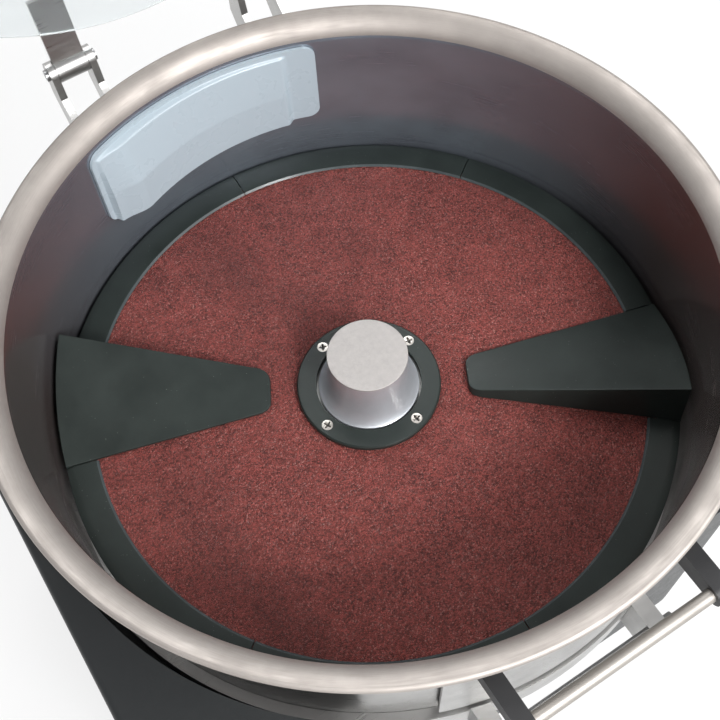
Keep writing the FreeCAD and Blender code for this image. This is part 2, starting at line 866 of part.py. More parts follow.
def ramp(number):
    """A ramp that lifts the potatoes, on a foot that sits on the plate between two clamp segments."""
    label = f"ramp_{number}"
    edge = cylinder(label + "_edge", "disc_radius", "disc_level - margin", "3 * ramp_outer_height")
    plan = combine("Common", label + "_outline", ramp_plan(label + "_plan"), edge)
    top = combine("Common", label + "_top", ramp_wedge(label + "_wedge"), plan)
    foot = sector(
        label + "_foot",
        "clamp_seat_radius",
        "disc_radius",
        "plate_top",
        "abrasive_depth",
        "360 - ramp_half_angle + segment_gap / 4",
        "2 * ramp_half_angle - segment_gap / 2",
    )
    whole = combine("Fuse", label, top, foot)
    spin(whole, f"disc_angle + {(number - 1) * 180}")
    return add(whole, label)


def hub_flange():
    body = new_body("hub_flange_blank")
    turn(
        body,
        [
            ("flange_hole_radius", "disc_level"),
            ("flange_radius", "disc_level"),
            ("flange_radius", "flange_top - flange_edge"),
            ("flange_radius - flange_edge", "flange_top"),
            ("flange_hole_radius", "flange_top"),
        ],
    )
    head = "hub_head_radius + screw_gap"
    shank = "hub_screw_radius + screw_gap"
    length = "flange_depth + margin"
    holes = []
    for index, (x, y) in enumerate(hub_places()):
        holes.append(screw(f"hub_hole_{index}", x, y, "flange_top", head, shank, length))
    flange = combine("Cut", "hub_flange", body, gather("hub_holes", holes))
    return add(spin(flange, "disc_angle"), "hub_flange")


def hub_screws():
    top = "flange_top - screw_gap"
    sizes = ("hub_head_radius", "hub_screw_radius", "hub_screw_length")
    screws = []
    for index, (x, y) in enumerate(hub_places()):
        screws.append(screw(f"hub_screw_{index}", x, y, top, *sizes))
    return add(spin(gather("hub_screws", screws), "disc_angle"), "hub_screws")


def hub_knob():
    body = new_body("hub_knob")
    turn(
        body,
        [
            ("knob_base_radius - knob_wall", "plate_top"),
            ("knob_base_radius", "plate_top"),
            ("knob_base_radius", "flange_top"),
            ("knob_top_radius", "cap_level"),
            ("knob_top_radius - knob_wall", "cap_level"),
            ("knob_top_radius - knob_wall", "knob_seat"),
            ("bolt_radius + body_gap", "knob_seat"),
            ("bolt_radius + body_gap", "stub_top"),
            ("knob_top_radius", "stub_top"),
        ],
    )
    return add(body, "hub_knob")


def hub_cap():
    body = new_body("hub_cap")
    spigot = "knob_top_radius - knob_wall - fit_gap"
    turn(
        body,
        [
            ("0", "cap_level - cap_spigot"),
            (spigot, "cap_level - cap_spigot"),
            (spigot, "cap_level"),
            ("knob_top_radius", "cap_level"),
            ("knob_top_radius", "knob_top - cap_edge"),
            ("knob_top_radius - cap_edge", "knob_top"),
            ("0", "knob_top"),
        ],
    )
    return add(body, "hub_cap")


def knob_screw():
    length = "knob_seat + margin - shaft_top - bore_gap"
    head = cylinder("knob_screw_head", "bolt_radius + bolt_head_rise", "knob_seat", "bolt_head_depth")
    shank = cylinder("knob_screw_shank", "bolt_radius - running_fit", "shaft_top + bore_gap", length)
    return add(combine("Fuse", "knob_screw", head, shank), "knob_screw")


def drive_shaft():
    body = new_body("drive_shaft")
    turn(
        body,
        [
            ("0", "shaft_bottom"),
            ("shaft_radius", "shaft_bottom"),
            ("shaft_radius", "lower_bearing + bearing_width + body_gap"),
            ("shoulder_radius", "lower_bearing + bearing_width + body_gap"),
            ("shoulder_radius", "upper_bearing - body_gap"),
            ("shaft_radius", "upper_bearing - body_gap"),
            ("shaft_radius", "shaft_top - shaft_edge"),
            ("shaft_radius - shaft_edge", "shaft_top"),
            ("0", "shaft_top"),
        ],
    )
    across = "2 * (shaft_radius + margin)"
    drill(body, "YZ_Plane", "shaft_radius + margin", across, "0", "dog_level", "dog_radius + press_gap")
    deep = "thread_depth - 2 * margin"
    drill(body, "XY_Plane", "shaft_bottom", deep, "0", "0", "bolt_radius + press_gap", along=True)
    return add(spin(body, "disc_angle"), "drive_shaft")


def dog_pin():
    pin = rod("dog_pin_bar", "dog_radius", "-dog_length / 2", "dog_length", "X", z="dog_level")
    return add(spin(gather("dog_pin", [pin]), "disc_angle"), "dog_pin")


def pulley(label, radius, bore, web):
    """A V-belt pulley; a large one has a web with holes between its hub and its rim."""
    body = new_body(label)
    low = "pulley_bottom"
    high = "pulley_top"
    root = f"({radius} - groove_depth)"
    narrow = "(belt_width / 2 + belt_gap)"
    wide = "(belt_width / 2 + belt_gap + groove_flare)"
    rim = [
        (radius, low),
        (radius, f"belt_middle - {wide}"),
        (root, f"belt_middle - {narrow}"),
        (root, f"belt_middle + {narrow}"),
        (radius, f"belt_middle + {wide}"),
        (radius, high),
    ]
    if not web:
        turn(body, [(bore, low)] + rim + [(bore, high)])
        return body
    hub = "(shoulder_radius + pulley_hub)"
    inside = f"({root} - pulley_rim)"
    under = "belt_middle - pulley_web / 2"
    over = "belt_middle + pulley_web / 2"
    below = [(bore, low), (hub, low), (hub, under), (inside, under), (inside, low)]
    neck = "(shoulder_radius + pulley_neck)"
    neck_top = "lower_bearing - body_gap"
    above = [(inside, high), (inside, over), (hub, over), (hub, high)]
    above += [(neck, high), (neck, neck_top), (bore, neck_top)]
    turn(body, below + rim + above)
    middle = f"({hub} + {inside}) / 2"
    hole = drill(body, "XY_Plane", high, "pulley_width", middle, "0", "pulley_hole_radius")
    ring_pattern(body, [hole], "pulley_hole_count")
    return body


def driven_pulley():
    return add(pulley("driven_pulley", "pulley_radius", "shaft_radius + press_gap", True), "driven_pulley")


def pulley_bolt():
    under = "pulley_bottom - washer_depth"
    washer = cylinder("pulley_washer", "shoulder_radius + washer_reach", under, "washer_depth")
    low = f"{under} - bolt_head_depth"
    head = cylinder("pulley_bolt_head", "bolt_radius + bolt_head_rise", low, "bolt_head_depth + margin / 2")
    shank = cylinder("pulley_bolt_shank", "bolt_radius", f"{under} - margin", "thread_depth")
    top = combine("Fuse", "pulley_bolt_top", washer, head)
    return add(combine("Fuse", "pulley_bolt", top, shank), "pulley_bolt")


def motor_pulley():
    body = pulley("motor_pulley", "motor_pulley_radius", "motor_shaft_radius + press_gap", False)
    return add(bind(body, Placement__Base__x="-belt_centres"), "motor_pulley")


def motor_shaft():
    bottom = "motor_top - motor_shaft_depth"
    length = "pulley_top + motor_shaft_end - motor_top + motor_shaft_depth"
    shaft = cylinder("motor_shaft", "motor_shaft_radius", bottom, length)
    return add(bind(shaft, Placement__Base__x="-belt_centres"), "motor_shaft")


def belt_loop(sketch, large, small):
    """A closed loop round two circles: the large one at the origin, the small one at the motor's shaft."""
    slope = f"(({large} - {small}) / belt_centres)"
    lift = f"sqrt(1 - {slope} * {slope})"
    tops = [(f"-{large} * {slope}", f"{large} * {lift}")]
    tops.append((f"-belt_centres - {small} * {slope}", f"{small} * {lift}"))
    big_x, big_y = (value(text) for text in tops[0])
    small_x, small_y = (value(text) for text in tops[1])
    centre = -value("belt_centres")
    turned = math.atan2(big_y, big_x)
    first = sketch.GeometryCount
    vector = FreeCAD.Vector
    sketch.addGeometry(Part.LineSegment(vector(big_x, big_y, 0), vector(small_x, small_y, 0)), False)
    arc(sketch, centre, 0, value(small), turned, 2 * math.pi - turned)
    sketch.addGeometry(Part.LineSegment(vector(small_x, -small_y, 0), vector(big_x, -big_y, 0)), False)
    arc(sketch, 0, 0, value(large), -turned, turned)
    join = Sketcher.Constraint
    hold(sketch, "DistanceX", first, 1, tops[0][0])
    hold(sketch, "DistanceY", first, 1, tops[0][1])
    hold(sketch, "DistanceX", first, 2, tops[1][0])
    hold(sketch, "DistanceY", first, 2, tops[1][1])
    hold(sketch, "DistanceX", first + 2, 1, tops[1][0])
    hold(sketch, "DistanceY", first + 2, 1, f"-({tops[1][1]})")
    hold(sketch, "DistanceX", first + 2, 2, tops[0][0])
    hold(sketch, "DistanceY", first + 2, 2, f"-({tops[0][1]})")
    sketch.addConstraint(join("Coincident", first + 1, 1, first, 2))
    sketch.addConstraint(join("Coincident", first + 1, 2, first + 2, 1))
    sketch.addConstraint(join("Coincident", first + 3, 1, first + 2, 2))
    sketch.addConstraint(join("Coincident", first + 3, 2, first, 1))
    for offset, text in ((1, small), (3, large)):
        index = sketch.addConstraint(join("Radius", first + offset, value(text)))
        sketch.setExpression(f"Constraints[{index}]", formula(text))


def drive_belt():
    body = new_body("drive_belt")

    def loops(sketch):
        for outside in ("belt_sink", "(belt_sink + belt_depth)"):
            belt_loop(sketch, f"(pulley_radius - {outside})", f"(motor_pulley_radius - {outside})")

    pad(body, "XY_Plane", "belt_bottom", "belt_width", loops)
    return add(body, "drive_belt")


def bearing(name, level):
    body = new_body(name)
    inner = "shaft_radius + running_fit"
    outer = "bearing_outer_radius - press_gap"
    inner_race = "shaft_radius + bearing_race"
    outer_race = "bearing_outer_radius - bearing_race"
    top = f"({level} + bearing_width)"
    turn(
        body,
        [
            (inner, level),
            (inner_race, level),
            (inner_race, f"{level} + bearing_recess"),
            (outer_race, f"{level} + bearing_recess"),
            (outer_race, level),
            (outer, level),
            (outer, top),
            (outer_race, top),
            (outer_race, f"{top} - bearing_recess"),
            (inner_race, f"{top} - bearing_recess"),
            (inner_race, top),
            (inner, top),
        ],
    )
    return add(body, name)


def bearing_housing():
    body = new_body("bearing_housing")
    under = "housing_top - housing_flange_depth"
    turn(
        body,
        [
            ("shoulder_radius + housing_bore", "housing_bottom"),
            ("housing_radius - housing_edge", "housing_bottom"),
            ("housing_radius", "housing_bottom + housing_edge"),
            ("housing_radius", under),
            ("housing_flange_radius", under),
            ("housing_flange_radius", "housing_top"),
            ("bearing_outer_radius", "housing_top"),
            ("bearing_outer_radius", "lower_bearing"),
            ("shoulder_radius + housing_bore", "lower_bearing"),
        ],
    )
    rib = pad(
        body,
        "XY_Plane",
        "housing_bottom + housing_rib_start",
        f"{under} - housing_bottom - housing_rib_start",
        lambda sketch: bar(sketch, "housing_radius - margin", "housing_bolt_circle + margin", "housing_rib"),
    )
    ring_pattern(body, [rib], "4")
    bolt = "housing_bolt_circle * sqrt(0.5)"
    depth = "housing_flange_depth"
    hole = drill(body, "XY_Plane", "housing_top", depth, bolt, bolt, "bolt_radius + fit_gap")
    ring_pattern(body, [hole], "4")
    return add(body, "bearing_housing")


def bearing_bolts():
    under = "housing_top - housing_flange_depth"
    bolts = []
    wide = "bolt_radius + bolt_head_rise"
    low = f"{under} - bolt_head_depth"
    reach = f"pan_top - 2 * pan_skin - ({under}) + margin"
    for index, (x, y) in enumerate(corners("housing_bolt_circle * sqrt(0.5)")):
        head = cylinder(f"bearing_bolt_{index}_head", wide, low, "bolt_head_depth", x, y)
        shank = cylinder(f"bearing_bolt_{index}_shank", "bolt_radius", f"{under} - margin", reach, x, y)
        bolts.append(combine("Fuse", f"bearing_bolt_{index}", head, shank))
    return add(gather("bearing_bolts", bolts), "bearing_bolts")


def shaft_seal():
    body = new_body("shaft_seal")
    inner = "shaft_radius + running_fit"
    turn(
        body,
        [
            (inner, "pan_bottom + seal_taper"),
            ("seal_radius - seal_lip", "pan_bottom"),
            ("seal_radius - running_fit", "pan_bottom"),
            ("seal_radius - running_fit", "pan_bottom + seal_depth"),
            (inner, "pan_bottom + seal_depth"),
        ],
    )
    return add(body, "shaft_seal")


def drum_pan():
    body = new_body("drum_pan")
    rim = "pan_top + pan_wall_height"
    collar = "collar_radius + collar_wall"
    turn(
        body,
        [
            ("seal_radius", "pan_bottom"),
            ("pan_outer_radius - pan_edge", "pan_bottom"),
            ("pan_outer_radius", "pan_bottom + pan_edge"),
            ("pan_outer_radius", rim),
            ("pan_inner_radius", rim),
            ("pan_inner_radius", "pan_top"),
            (collar, "pan_top"),
            (collar, "pan_top + collar_height"),
            ("collar_radius", "pan_top + collar_height"),
            ("collar_radius", "pan_top + seal_seat"),
            ("seal_radius", "pan_top + seal_seat"),
        ],
    )
    drill(body, "XY_Plane", "pan_top", "pan_floor", "outlet_x", "outlet_y", "outlet_radius + fit_gap")
    bolt = "housing_bolt_circle * sqrt(0.5)"
    depth = "pan_floor - pan_skin"
    hole = drill(body, "XY_Plane", "pan_bottom", depth, bolt, bolt, "bolt_radius + running_fit", along=True)
    ring_pattern(body, [hole], "4")
    start = "pan_outer_radius + margin"
    depth = "pan_wall + 2 * margin"
    hole = drill(body, "YZ_Plane", start, depth, "0", "drum_screw_level", "hub_screw_radius + screw_gap")
    ring_pattern(body, [hole], "drum_screw_count")
    return add(body, "drum_pan")


def drum_shell():
    """The polished wall, with a lip that flares out in a quarter round and is hemmed downwards."""
    body = new_body("drum_shell_turned")
    sketch = new_sketch(body, "XZ_Plane")
    start = "(drum_top - lip_reach)"
    inner_bend = "(lip_reach - drum_wall)"
    under = f"({start} + sqrt({inner_bend} * {inner_bend} - drum_wall * drum_wall))"
    hem = "drum_top - lip_hem"
    points = [
        ("drum_radius", "pan_top"),
        ("drum_radius", start),
        ("lip_radius", "drum_top"),
        ("lip_radius", hem),
        ("lip_radius - drum_wall", hem),
        ("lip_radius - drum_wall", under),
        ("drum_outer_radius", start),
        ("drum_outer_radius", "pan_top"),
    ]
    places = [FreeCAD.Vector(value(x), value(y), 0) for x, y in points]
    centre = FreeCAD.Vector(value("lip_radius"), value(start), 0)
    for index, place in enumerate(places):
        following = places[(index + 1) % len(places)]
        if index == 1:
            arc(sketch, centre.x, centre.y, value("lip_reach"), math.pi / 2, math.pi)
        elif index == 5:
            from_angle = math.atan2(place.y - centre.y, place.x - centre.x)
            arc(sketch, centre.x, centre.y, value(inner_bend), from_angle, math.pi)
        else:
            sketch.addGeometry(Part.LineSegment(place, following), False)

    def end(index, last):
        """The sketcher's number for an end: an arc's ends count counter-clockwise."""
        if index == 1:
            return 1 if last else 2
        return 2 if last else 1

    count = len(points)
    for index in range(count):
        following = (index + 1) % count
        ends = (index, end(index, True), following, end(following, False))
        sketch.addConstraint(Sketcher.Constraint("Coincident", *ends))
    for index in (0, 2, 3, 4, 6, 7):
        hold(sketch, "DistanceX", index, 1, points[index][0])
        hold(sketch, "DistanceY", index, 1, points[index][1])
    for line, point in ((0, points[1]), (4, points[5])):
        hold(sketch, "DistanceX", line, 2, point[0])
        hold(sketch, "DistanceY", line, 2, point[1])
    for index, text in ((1, "lip_reach"), (5, inner_bend)):
        number = sketch.addConstraint(Sketcher.Constraint("Radius", index, value(text)))
        sketch.setExpression(f"Constraints[{number}]", formula(text))
    shell = body.newObject("PartDesign::Revolution", "Turned")
    shell.Profile = sketch
    shell.ReferenceAxis = (sketch, ["V_Axis"])
    shell.Angle = 360
    doc.recompute()
    start = "drum_outer_radius + margin"
    depth = "drum_wall + 2 * margin"
    hole = drill(body, "YZ_Plane", start, depth, "0", "drum_screw_level", "hub_screw_radius + screw_gap")
    ring_pattern(body, [hole], "drum_screw_count")
    opening = cylinder(
        "door_opening",
        "drum_outer_radius + margin",
        "door_level",
        "door_height",
        angle="2 * door_half_angle",
        turned="270 - door_half_angle",
    )
    length = "drum_outer_radius + margin - inlet_start"
    inlet = rod("inlet_opening", "inlet_radius + fit_gap", "inlet_start", length, "Y", z="inlet_level")
    return add(combine("Cut", "drum_shell", body, gather("drum_openings", [opening, inlet])), "drum_shell")


def drum_screws():
    body = new_body("drum_screws")
    level = "drum_screw_level"
    shank = pad(
        body,
        "YZ_Plane",
        "drum_radius + fit_gap",
        "pan_outer_radius - drum_radius - fit_gap",
        lambda sketch: circle(sketch, "0", level, "hub_screw_radius"),
    )
    head = pad(
        body,
        "YZ_Plane",
        "pan_outer_radius",
        "hub_screw_radius",
        lambda sketch: circle(sketch, "0", level, "2 * hub_screw_radius"),
    )
    ring_pattern(body, [shank, head], "drum_screw_count")
    return add(body, "drum_screws")


def waste_outlet():
    """A bent tube from the pan's floor to a straight spigot behind the housing."""
    body = new_body("waste_outlet")
    profile = new_sketch(body, "XY_Plane", "pan_top")
    circle(profile, "outlet_x", "outlet_y", "outlet_radius")
    circle(profile, "outlet_x", "outlet_y", "outlet_radius - outlet_wall")
    path = new_sketch(body, "YZ_Plane", "outlet_x")
    bend = value("outlet_bend")
    start = FreeCAD.Vector(value("outlet_y"), value("pan_top"), 0)
    drop = start - FreeCAD.Vector(0, value("outlet_drop"), 0)
    level = drop + FreeCAD.Vector(bend, -bend, 0)
    tip = FreeCAD.Vector(value("outlet_end"), level.y, 0)
    path.addGeometry(Part.LineSegment(start, drop), False)
    arc(path, level.x, drop.y, bend, math.pi, 1.5 * math.pi)
    path.addGeometry(Part.LineSegment(level, tip), False)
    path.addConstraint(Sketcher.Constraint("Coincident", 0, 2, 1, 1))
    path.addConstraint(Sketcher.Constraint("Coincident", 1, 2, 2, 1))
    hold(path, "DistanceX", 0, 1, "outlet_y")
    hold(path, "DistanceY", 0, 1, "pan_top")
    hold(path, "DistanceX", 0, 2, "outlet_y")
    hold(path, "DistanceY", 0, 2, "pan_top - outlet_drop")
    hold(path, "DistanceX", 2, 1, "outlet_y + outlet_bend")
    hold(path, "DistanceY", 2, 1, "outlet_level")
    hold(path, "DistanceX", 2, 2, "outlet_end")
    hold(path, "DistanceY", 2, 2, "outlet_level")
    number = path.addConstraint(Sketcher.Constraint("Radius", 1, bend))
    path.setExpression(f"Constraints[{number}]", formula("outlet_bend"))
    doc.recompute()
    pipe = body.newObject("PartDesign::AdditivePipe", "Pipe")
    pipe.Profile = profile
    pipe.Spine = path
    doc.recompute()
    return add(body, "waste_outlet")


def base_box(label, inset, bottom, depth):
    """The outline of the base, made smaller all round by inset."""
    return block(
        label,
        f"{inset} - base_left",
        f"base_right - {inset}",
        f"{inset} - base_front",
        f"base_back - {inset}",
        bottom,
        depth,
        f"base_corner - {inset}",
    )


def base_housing():
    body = base_box("base_outside", "0", "foot_height", "pan_bottom - foot_height")
    first = "-(slot_count - 1) * slot_pitch / 2"
    slot = pocket(
        body,
        "YZ_Plane",
        "base_right + margin",
        "base_left + base_right + 2 * margin",
        lambda sketch: rectangle(
            sketch,
            f"{first} - slot_width / 2",
            f"{first} + slot_width / 2",
            "slot_low",
            "slot_low + slot_length",
        ),
    )
    row_pattern(body, [slot], "Y_Axis", "(slot_count - 1) * slot_pitch", "slot_count")
    height = "deck_bottom - foot_height + margin"
    inside = base_box("base_inside", "base_wall", "foot_height - margin", height)
    shell = combine("Cut", "base_shell", body, inside)
    low = "deck_bottom - margin"
    deep = "base_wall + 2 * margin"
    holes = [cylinder("deck_bore", "bearing_outer_radius", low, deep)]
    for index, (x, y) in enumerate(corners("housing_bolt_circle * sqrt(0.5)")):
        holes.append(cylinder(f"deck_hole_{index}", "bolt_radius + fit_gap", low, deep, x, y))
    wide = "outlet_radius + hole_gap"
    holes.append(cylinder("deck_outlet", wide, low, deep, "outlet_x", "outlet_y"))
    start = "base_back - base_wall - margin"
    holes.append(rod("rear_outlet", wide, start, deep, "Y", "outlet_x", z="outlet_level"))
    holes.append(rod("rear_gland", "gland_radius", start, deep, "Y", "gland_x", z="gland_level"))
    wire_x = "wire_inset_x - base_left"
    holes.append(cylinder("wire_hole", "gland_radius", low, deep, wire_x, "wire_inset_y - base_front"))
    return add(combine("Cut", "base_housing", shell, gather("base_holes", holes)), "base_housing")


def base_cover():
    body = base_box("cover_plate", "(base_wall + body_gap)", "foot_height", "base_wall")
    low = "foot_height - margin"
    deep = "base_wall + 2 * margin"
    holes = []
    for index, (x, y) in enumerate(corners("foot_x", "foot_y")):
        holes.append(cylinder(f"cover_hole_{index}", "foot_neck + fit_gap / 2", low, deep, x, y))
    return add(combine("Cut", "base_cover", body, gather("cover_holes", holes)), "base_cover")


def rubber_foot(index, x, y):
    body = new_body(f"foot_{index}")
    turn(
        body,
        [
            ("foot_bore", "0"),
            ("foot_radius - foot_taper", "0"),
            ("foot_radius", "foot_height - foot_band"),
            ("foot_radius", "foot_height"),
            ("foot_neck", "foot_height"),
            ("foot_neck", "cover_top"),
            ("foot_neck + foot_barb", "cover_top"),
            ("foot_neck + foot_barb / 2", "cover_top + foot_barb_depth"),
            ("foot_bore", "cover_top + foot_barb_depth"),
        ],
    )
    return bind(body, Placement__Base__x=x, Placement__Base__y=y)


def rubber_feet():
    feet = [rubber_foot(index, x, y) for index, (x, y) in enumerate(corners("foot_x", "foot_y"))]
    return add(gather("rubber_feet", feet), "rubber_feet")


def cable_gland():
    """The nipple for the supply cord: a nut behind the wall and a tail outside, with a bore for the cord."""
    face = "base_back"
    wide = "gland_radius + gland_nut_rise"
    nut_start = f"{face} - base_wall - gland_nut_depth"
    nut = rod("gland_nut", wide, nut_start, "gland_nut_depth", "Y")
    neck_start = f"{face} - base_wall - margin"
    neck = rod("gland_neck", "gland_radius - fit_gap / 2", neck_start, "base_wall + 2 * margin", "Y")
    collar = rod("gland_collar", wide, face, "gland_collar_depth", "Y")
    tail_start = f"{face} + gland_collar_depth - margin"
    length = "gland_tail - gland_collar_depth + margin"
    tail = rod("gland_tail", "gland_radius - margin", tail_start, length, "Y")
    length = "base_wall + gland_nut_depth + gland_tail + 2 * margin"
    bore = rod("gland_bore", "gland_radius - gland_wall", f"{nut_start} - margin", length, "Y")
    inner = combine("Fuse", "gland_inner", nut, neck)
    outer = combine("Fuse", "gland_outer", collar, tail)
    gland = combine("Cut", "cable_gland", combine("Fuse", "gland_whole", inner, outer), bore)
    return add(bind(gland, Placement__Base__x="gland_x", Placement__Base__z="gland_level"), "cable_gland")


def motor_bracket():
    """A channel under the deck that carries the motor, with a flange along the top of each side."""
    body = new_body("motor_bracket_channel")
    wall = "bracket_wall"
    half = "bracket_half_width"
    pad(
        body,
        "YZ_Plane",
        "-belt_centres - bracket_half_length",
        "2 * bracket_half_length",
        lambda sketch: outline(
            sketch,
            [
                (f"-{half}", "motor_top"),
                (half, "motor_top"),
                (half, f"deck_bottom - {wall}"),
                (f"{half} + bracket_flange", f"deck_bottom - {wall}"),
                (f"{half} + bracket_flange", "deck_bottom"),
                (f"{half} - {wall}", "deck_bottom"),
                (f"{half} - {wall}", f"motor_top + {wall}"),
                (f"{wall} - {half}", f"motor_top + {wall}"),
                (f"{wall} - {half}", "deck_bottom"),
                (f"-{half} - bracket_flange", "deck_bottom"),
                (f"-{half} - bracket_flange", f"deck_bottom - {wall}"),
                (f"-{half}", f"deck_bottom - {wall}"),
            ],
        ),
    )
    hole = "motor_shaft_radius + bracket_hole"
    drill(body, "XY_Plane", f"motor_top + {wall}", wall, "-belt_centres", "0", hole)
    return add(body, "motor_bracket")


def motor_body():
    body = new_body("motor_body")
    bore = "motor_shaft_radius + running_fit"
    end = "motor_top - motor_shaft_depth - margin"
    turn(
        body,
        [
            ("0", "motor_bottom"),
            ("motor_radius - motor_edge", "motor_bottom"),
            ("motor_radius", "motor_bottom + motor_edge"),
            ("motor_radius", "motor_top"),
            (bore, "motor_top"),
            (bore, end),
            ("0", end),
        ],
    )
    fin = pad(
        body,
        "XY_Plane",
        "motor_bottom + motor_fin_inset",
        "motor_length - 2 * motor_fin_inset",
        lambda sketch: bar(sketch, "motor_radius - margin", "motor_radius + motor_fin", "motor_fin_width"),
    )
    ring_pattern(body, [fin], "motor_fin_count")
    return add(bind(body, Placement__Base__x="-belt_centres"), "motor_body")


def motor_fan_cover():
    body = new_body("motor_fan_cover")
    low = "motor_bottom - fan_cover_depth"
    rim = "(motor_radius - motor_edge)"
    wall = "fan_cover_wall"
    turn(
        body,
        [
            ("0", low),
            (f"{rim} - motor_edge", low),
            (rim, f"{low} + motor_edge"),
            (rim, "motor_bottom"),
            (f"{rim} - {wall}", "motor_bottom"),
            (f"{rim} - {wall}", f"{low} + motor_edge"),
            (f"{rim} - motor_edge", f"{low} + {wall}"),
            ("0", f"{low} + {wall}"),
        ],
    )
    slot = pocket(
        body,
        "XY_Plane",
        f"{low} + {wall}",
        wall,
        lambda sketch: bar(sketch, "fan_slot_start", "motor_radius - fan_slot_start", "fan_slot_width"),
    )
    ring_pattern(body, [slot], "fan_slot_count")
    return add(bind(body, Placement__Base__x="-belt_centres"), "motor_fan_cover")


def water_inlet():
    """The water pipe through the drum's back wall, with a collar against the wall."""
    length = "inlet_end - inlet_start"
    pipe = rod("inlet_pipe", "inlet_radius", "inlet_start", length, "Y", z="inlet_level")
    start = "drum_outer_radius + fit_gap"
    collar = rod("inlet_collar", "inlet_nut_radius", start, "inlet_collar_depth", "Y", z="inlet_level")
    length = f"{length} + 2 * margin"
    bore = rod("inlet_bore", "inlet_bore", "inlet_start - margin", length, "Y", z="inlet_level")
    whole = combine("Fuse", "inlet_whole", pipe, collar)
    return add(combine("Cut", "water_inlet", whole, bore), "water_inlet")


def inlet_nut():
    body = new_body("inlet_nut")
    radius = "inlet_nut_radius"
    across = [(f"{radius} * cos({60 * step})", f"{radius} * sin({60 * step})") for step in range(6)]
    pad(body, "XZ_Plane", "-inlet_nut_depth", "inlet_nut_depth", lambda sketch: outline(sketch, across))
    drill(body, "XZ_Plane", "0", "inlet_nut_depth", "0", "0", "inlet_radius + running_fit")
    bind(body, Placement__Base__y="inlet_start", Placement__Base__z="inlet_level")
    return add(body, "inlet_nut")


def water_deflector():
    """The plate over the water inlet: its face stands off the wall and it is open at the bottom."""
    outer = "drum_radius - body_gap"
    level = "deflector_level"
    tall = "deflector_height"
    start = "deflector_start_angle"
    span = "deflector_span_angle"
    plate = sector("deflector_plate", f"{outer} - deflector_wall", outer, level, tall, start, span)
    start = f"{start} + deflector_side_angle"
    span = f"{span} - 2 * deflector_side_angle"
    height = f"{tall} - deflector_border"
    full = cylinder("deflector_full", outer, level, height, angle=span, turned=start)
    where = {"x": "deflector_face_x", "y": "deflector_face_y"}
    taller = f"{tall} + 2 * margin"
    face = cylinder("deflector_face", "deflector_face_radius", f"{level} - margin", taller, **where)
    raised = combine("Fuse", "deflector_raised", plate, combine("Cut", "deflector_bulge", full, face))
    space = cylinder(
        "deflector_space",
        "drum_radius + margin",
        f"{level} - 2 * margin",
        f"{height} + 2 * margin - deflector_wall",
        angle=f"{span} - 2 * deflector_wall_angle",
        turned=f"{start} + deflector_wall_angle",
    )
    inner_radius = "deflector_face_radius + deflector_wall"
    core = cylinder("deflector_core", inner_radius, f"{level} - 3 * margin", f"{tall} + 6 * margin", **where)
    hollow = combine("Cut", "deflector_hollow", space, core)
    return add(combine("Cut", "water_deflector", raised, hollow), "water_deflector")


def door_curve(label, inner, outer, border):
    """A piece of curved plate over the door's opening, larger than the opening by border all round."""
    extra = f"({border}) / drum_radius * 180 / pi"
    return sector(
        label,
        inner,
        outer,
        f"door_level - ({border})",
        f"door_height + 2 * ({border})",
        f"270 - door_half_angle - {extra}",
        f"2 * (door_half_angle + {extra})",
    )


def paired(label, make):
    """The same piece at the left and at the right, as one group."""
    return gather(label, [make(f"{label}_left", "-1"), make(f"{label}_right", "1")])


DOOR_HINGE = {"y": "hinge_y", "z": "hinge_level"}
DOOR_HANDLE = {"y": "handle_y", "z": "handle_level"}


def hinge_rod(label, radius):
    """A rod along the door's hinge, as long as its pin."""
    return rod(label, radius, "-hinge_half_length", "2 * hinge_half_length", "X", **DOOR_HINGE)


def door_knuckle(label, side):
    left = f"{side} * knuckle_x - knuckle_width / 2"
    right = f"{side} * knuckle_x + knuckle_width / 2"
    barrel = rod(label + "_barrel", "knuckle_radius", left, "knuckle_width", "X", **DOOR_HINGE)
    web_start = "hinge_y + 2 * margin"
    web_low = "hinge_level + hinge_web_rise"
    web = block(label + "_web", left, right, web_start, "-blank_radius", web_low, "knuckle_radius - margin")
    strap_start = "-door_outer_radius - strap_depth"
    strap_low = "hinge_level + strap_rise"
    strap = block(label + "_strap", left, right, strap_start, "-blank_radius", strap_low, "strap_height")
    return combine("Fuse", label + "_part", combine("Fuse", label + "_low", barrel, web), strap)


def door_panel():
    """The curved door with a plug that fills the opening and two knuckles at its lower edge."""
    within = "door_outer_radius - margin"
    panel = door_curve("door_sheet", "door_sheet_radius", "door_outer_radius", "door_overlap")
    plug = door_curve("door_plug", "drum_radius", within, "-door_gap")
    knuckles = paired("door_knuckles", door_knuckle)
    inside = cylinder("door_inside", within, "pan_bottom", "drum_top - pan_bottom")
    straps = combine("Cut", "door_straps", knuckles, inside)
    whole = combine("Fuse", "door_whole", combine("Fuse", "door_sheet_plug", panel, plug), straps)
    bore = hinge_rod("door_bore", "hinge_pin_radius + running_fit")
    return add(combine("Cut", "door_panel", whole, bore), "door_panel")


def door_gasket():
    """A rubber frame between the door and the drum."""
    start = "drum_outer_radius + body_gap"
    outside = door_curve("gasket_outside", start, "door_face_radius", "door_overlap - margin")
    inside = door_curve("gasket_inside", f"{start} - margin", "door_face_radius + margin", "gasket_inset")
    return add(combine("Cut", "door_gasket", outside, inside), "door_gasket")


def door_handle_arm(label, side):
    left = f"{side} * arm_x - arm_width / 2"
    right = f"{side} * arm_x + arm_width / 2"
    end = rod(label + "_end", "arm_height / 2", left, "arm_width", "X", **DOOR_HANDLE)
    low = "handle_level - arm_height / 2"
    arm = block(label + "_arm", left, right, "handle_y", "-blank_radius", low, "arm_height")
    return combine("Fuse", label, end, arm)


def handle_rod(label, radius):
    """A rod where the door's handle bar is."""
    return rod(label, radius, "-handle_half_length", "2 * handle_half_length", "X", **DOOR_HANDLE)


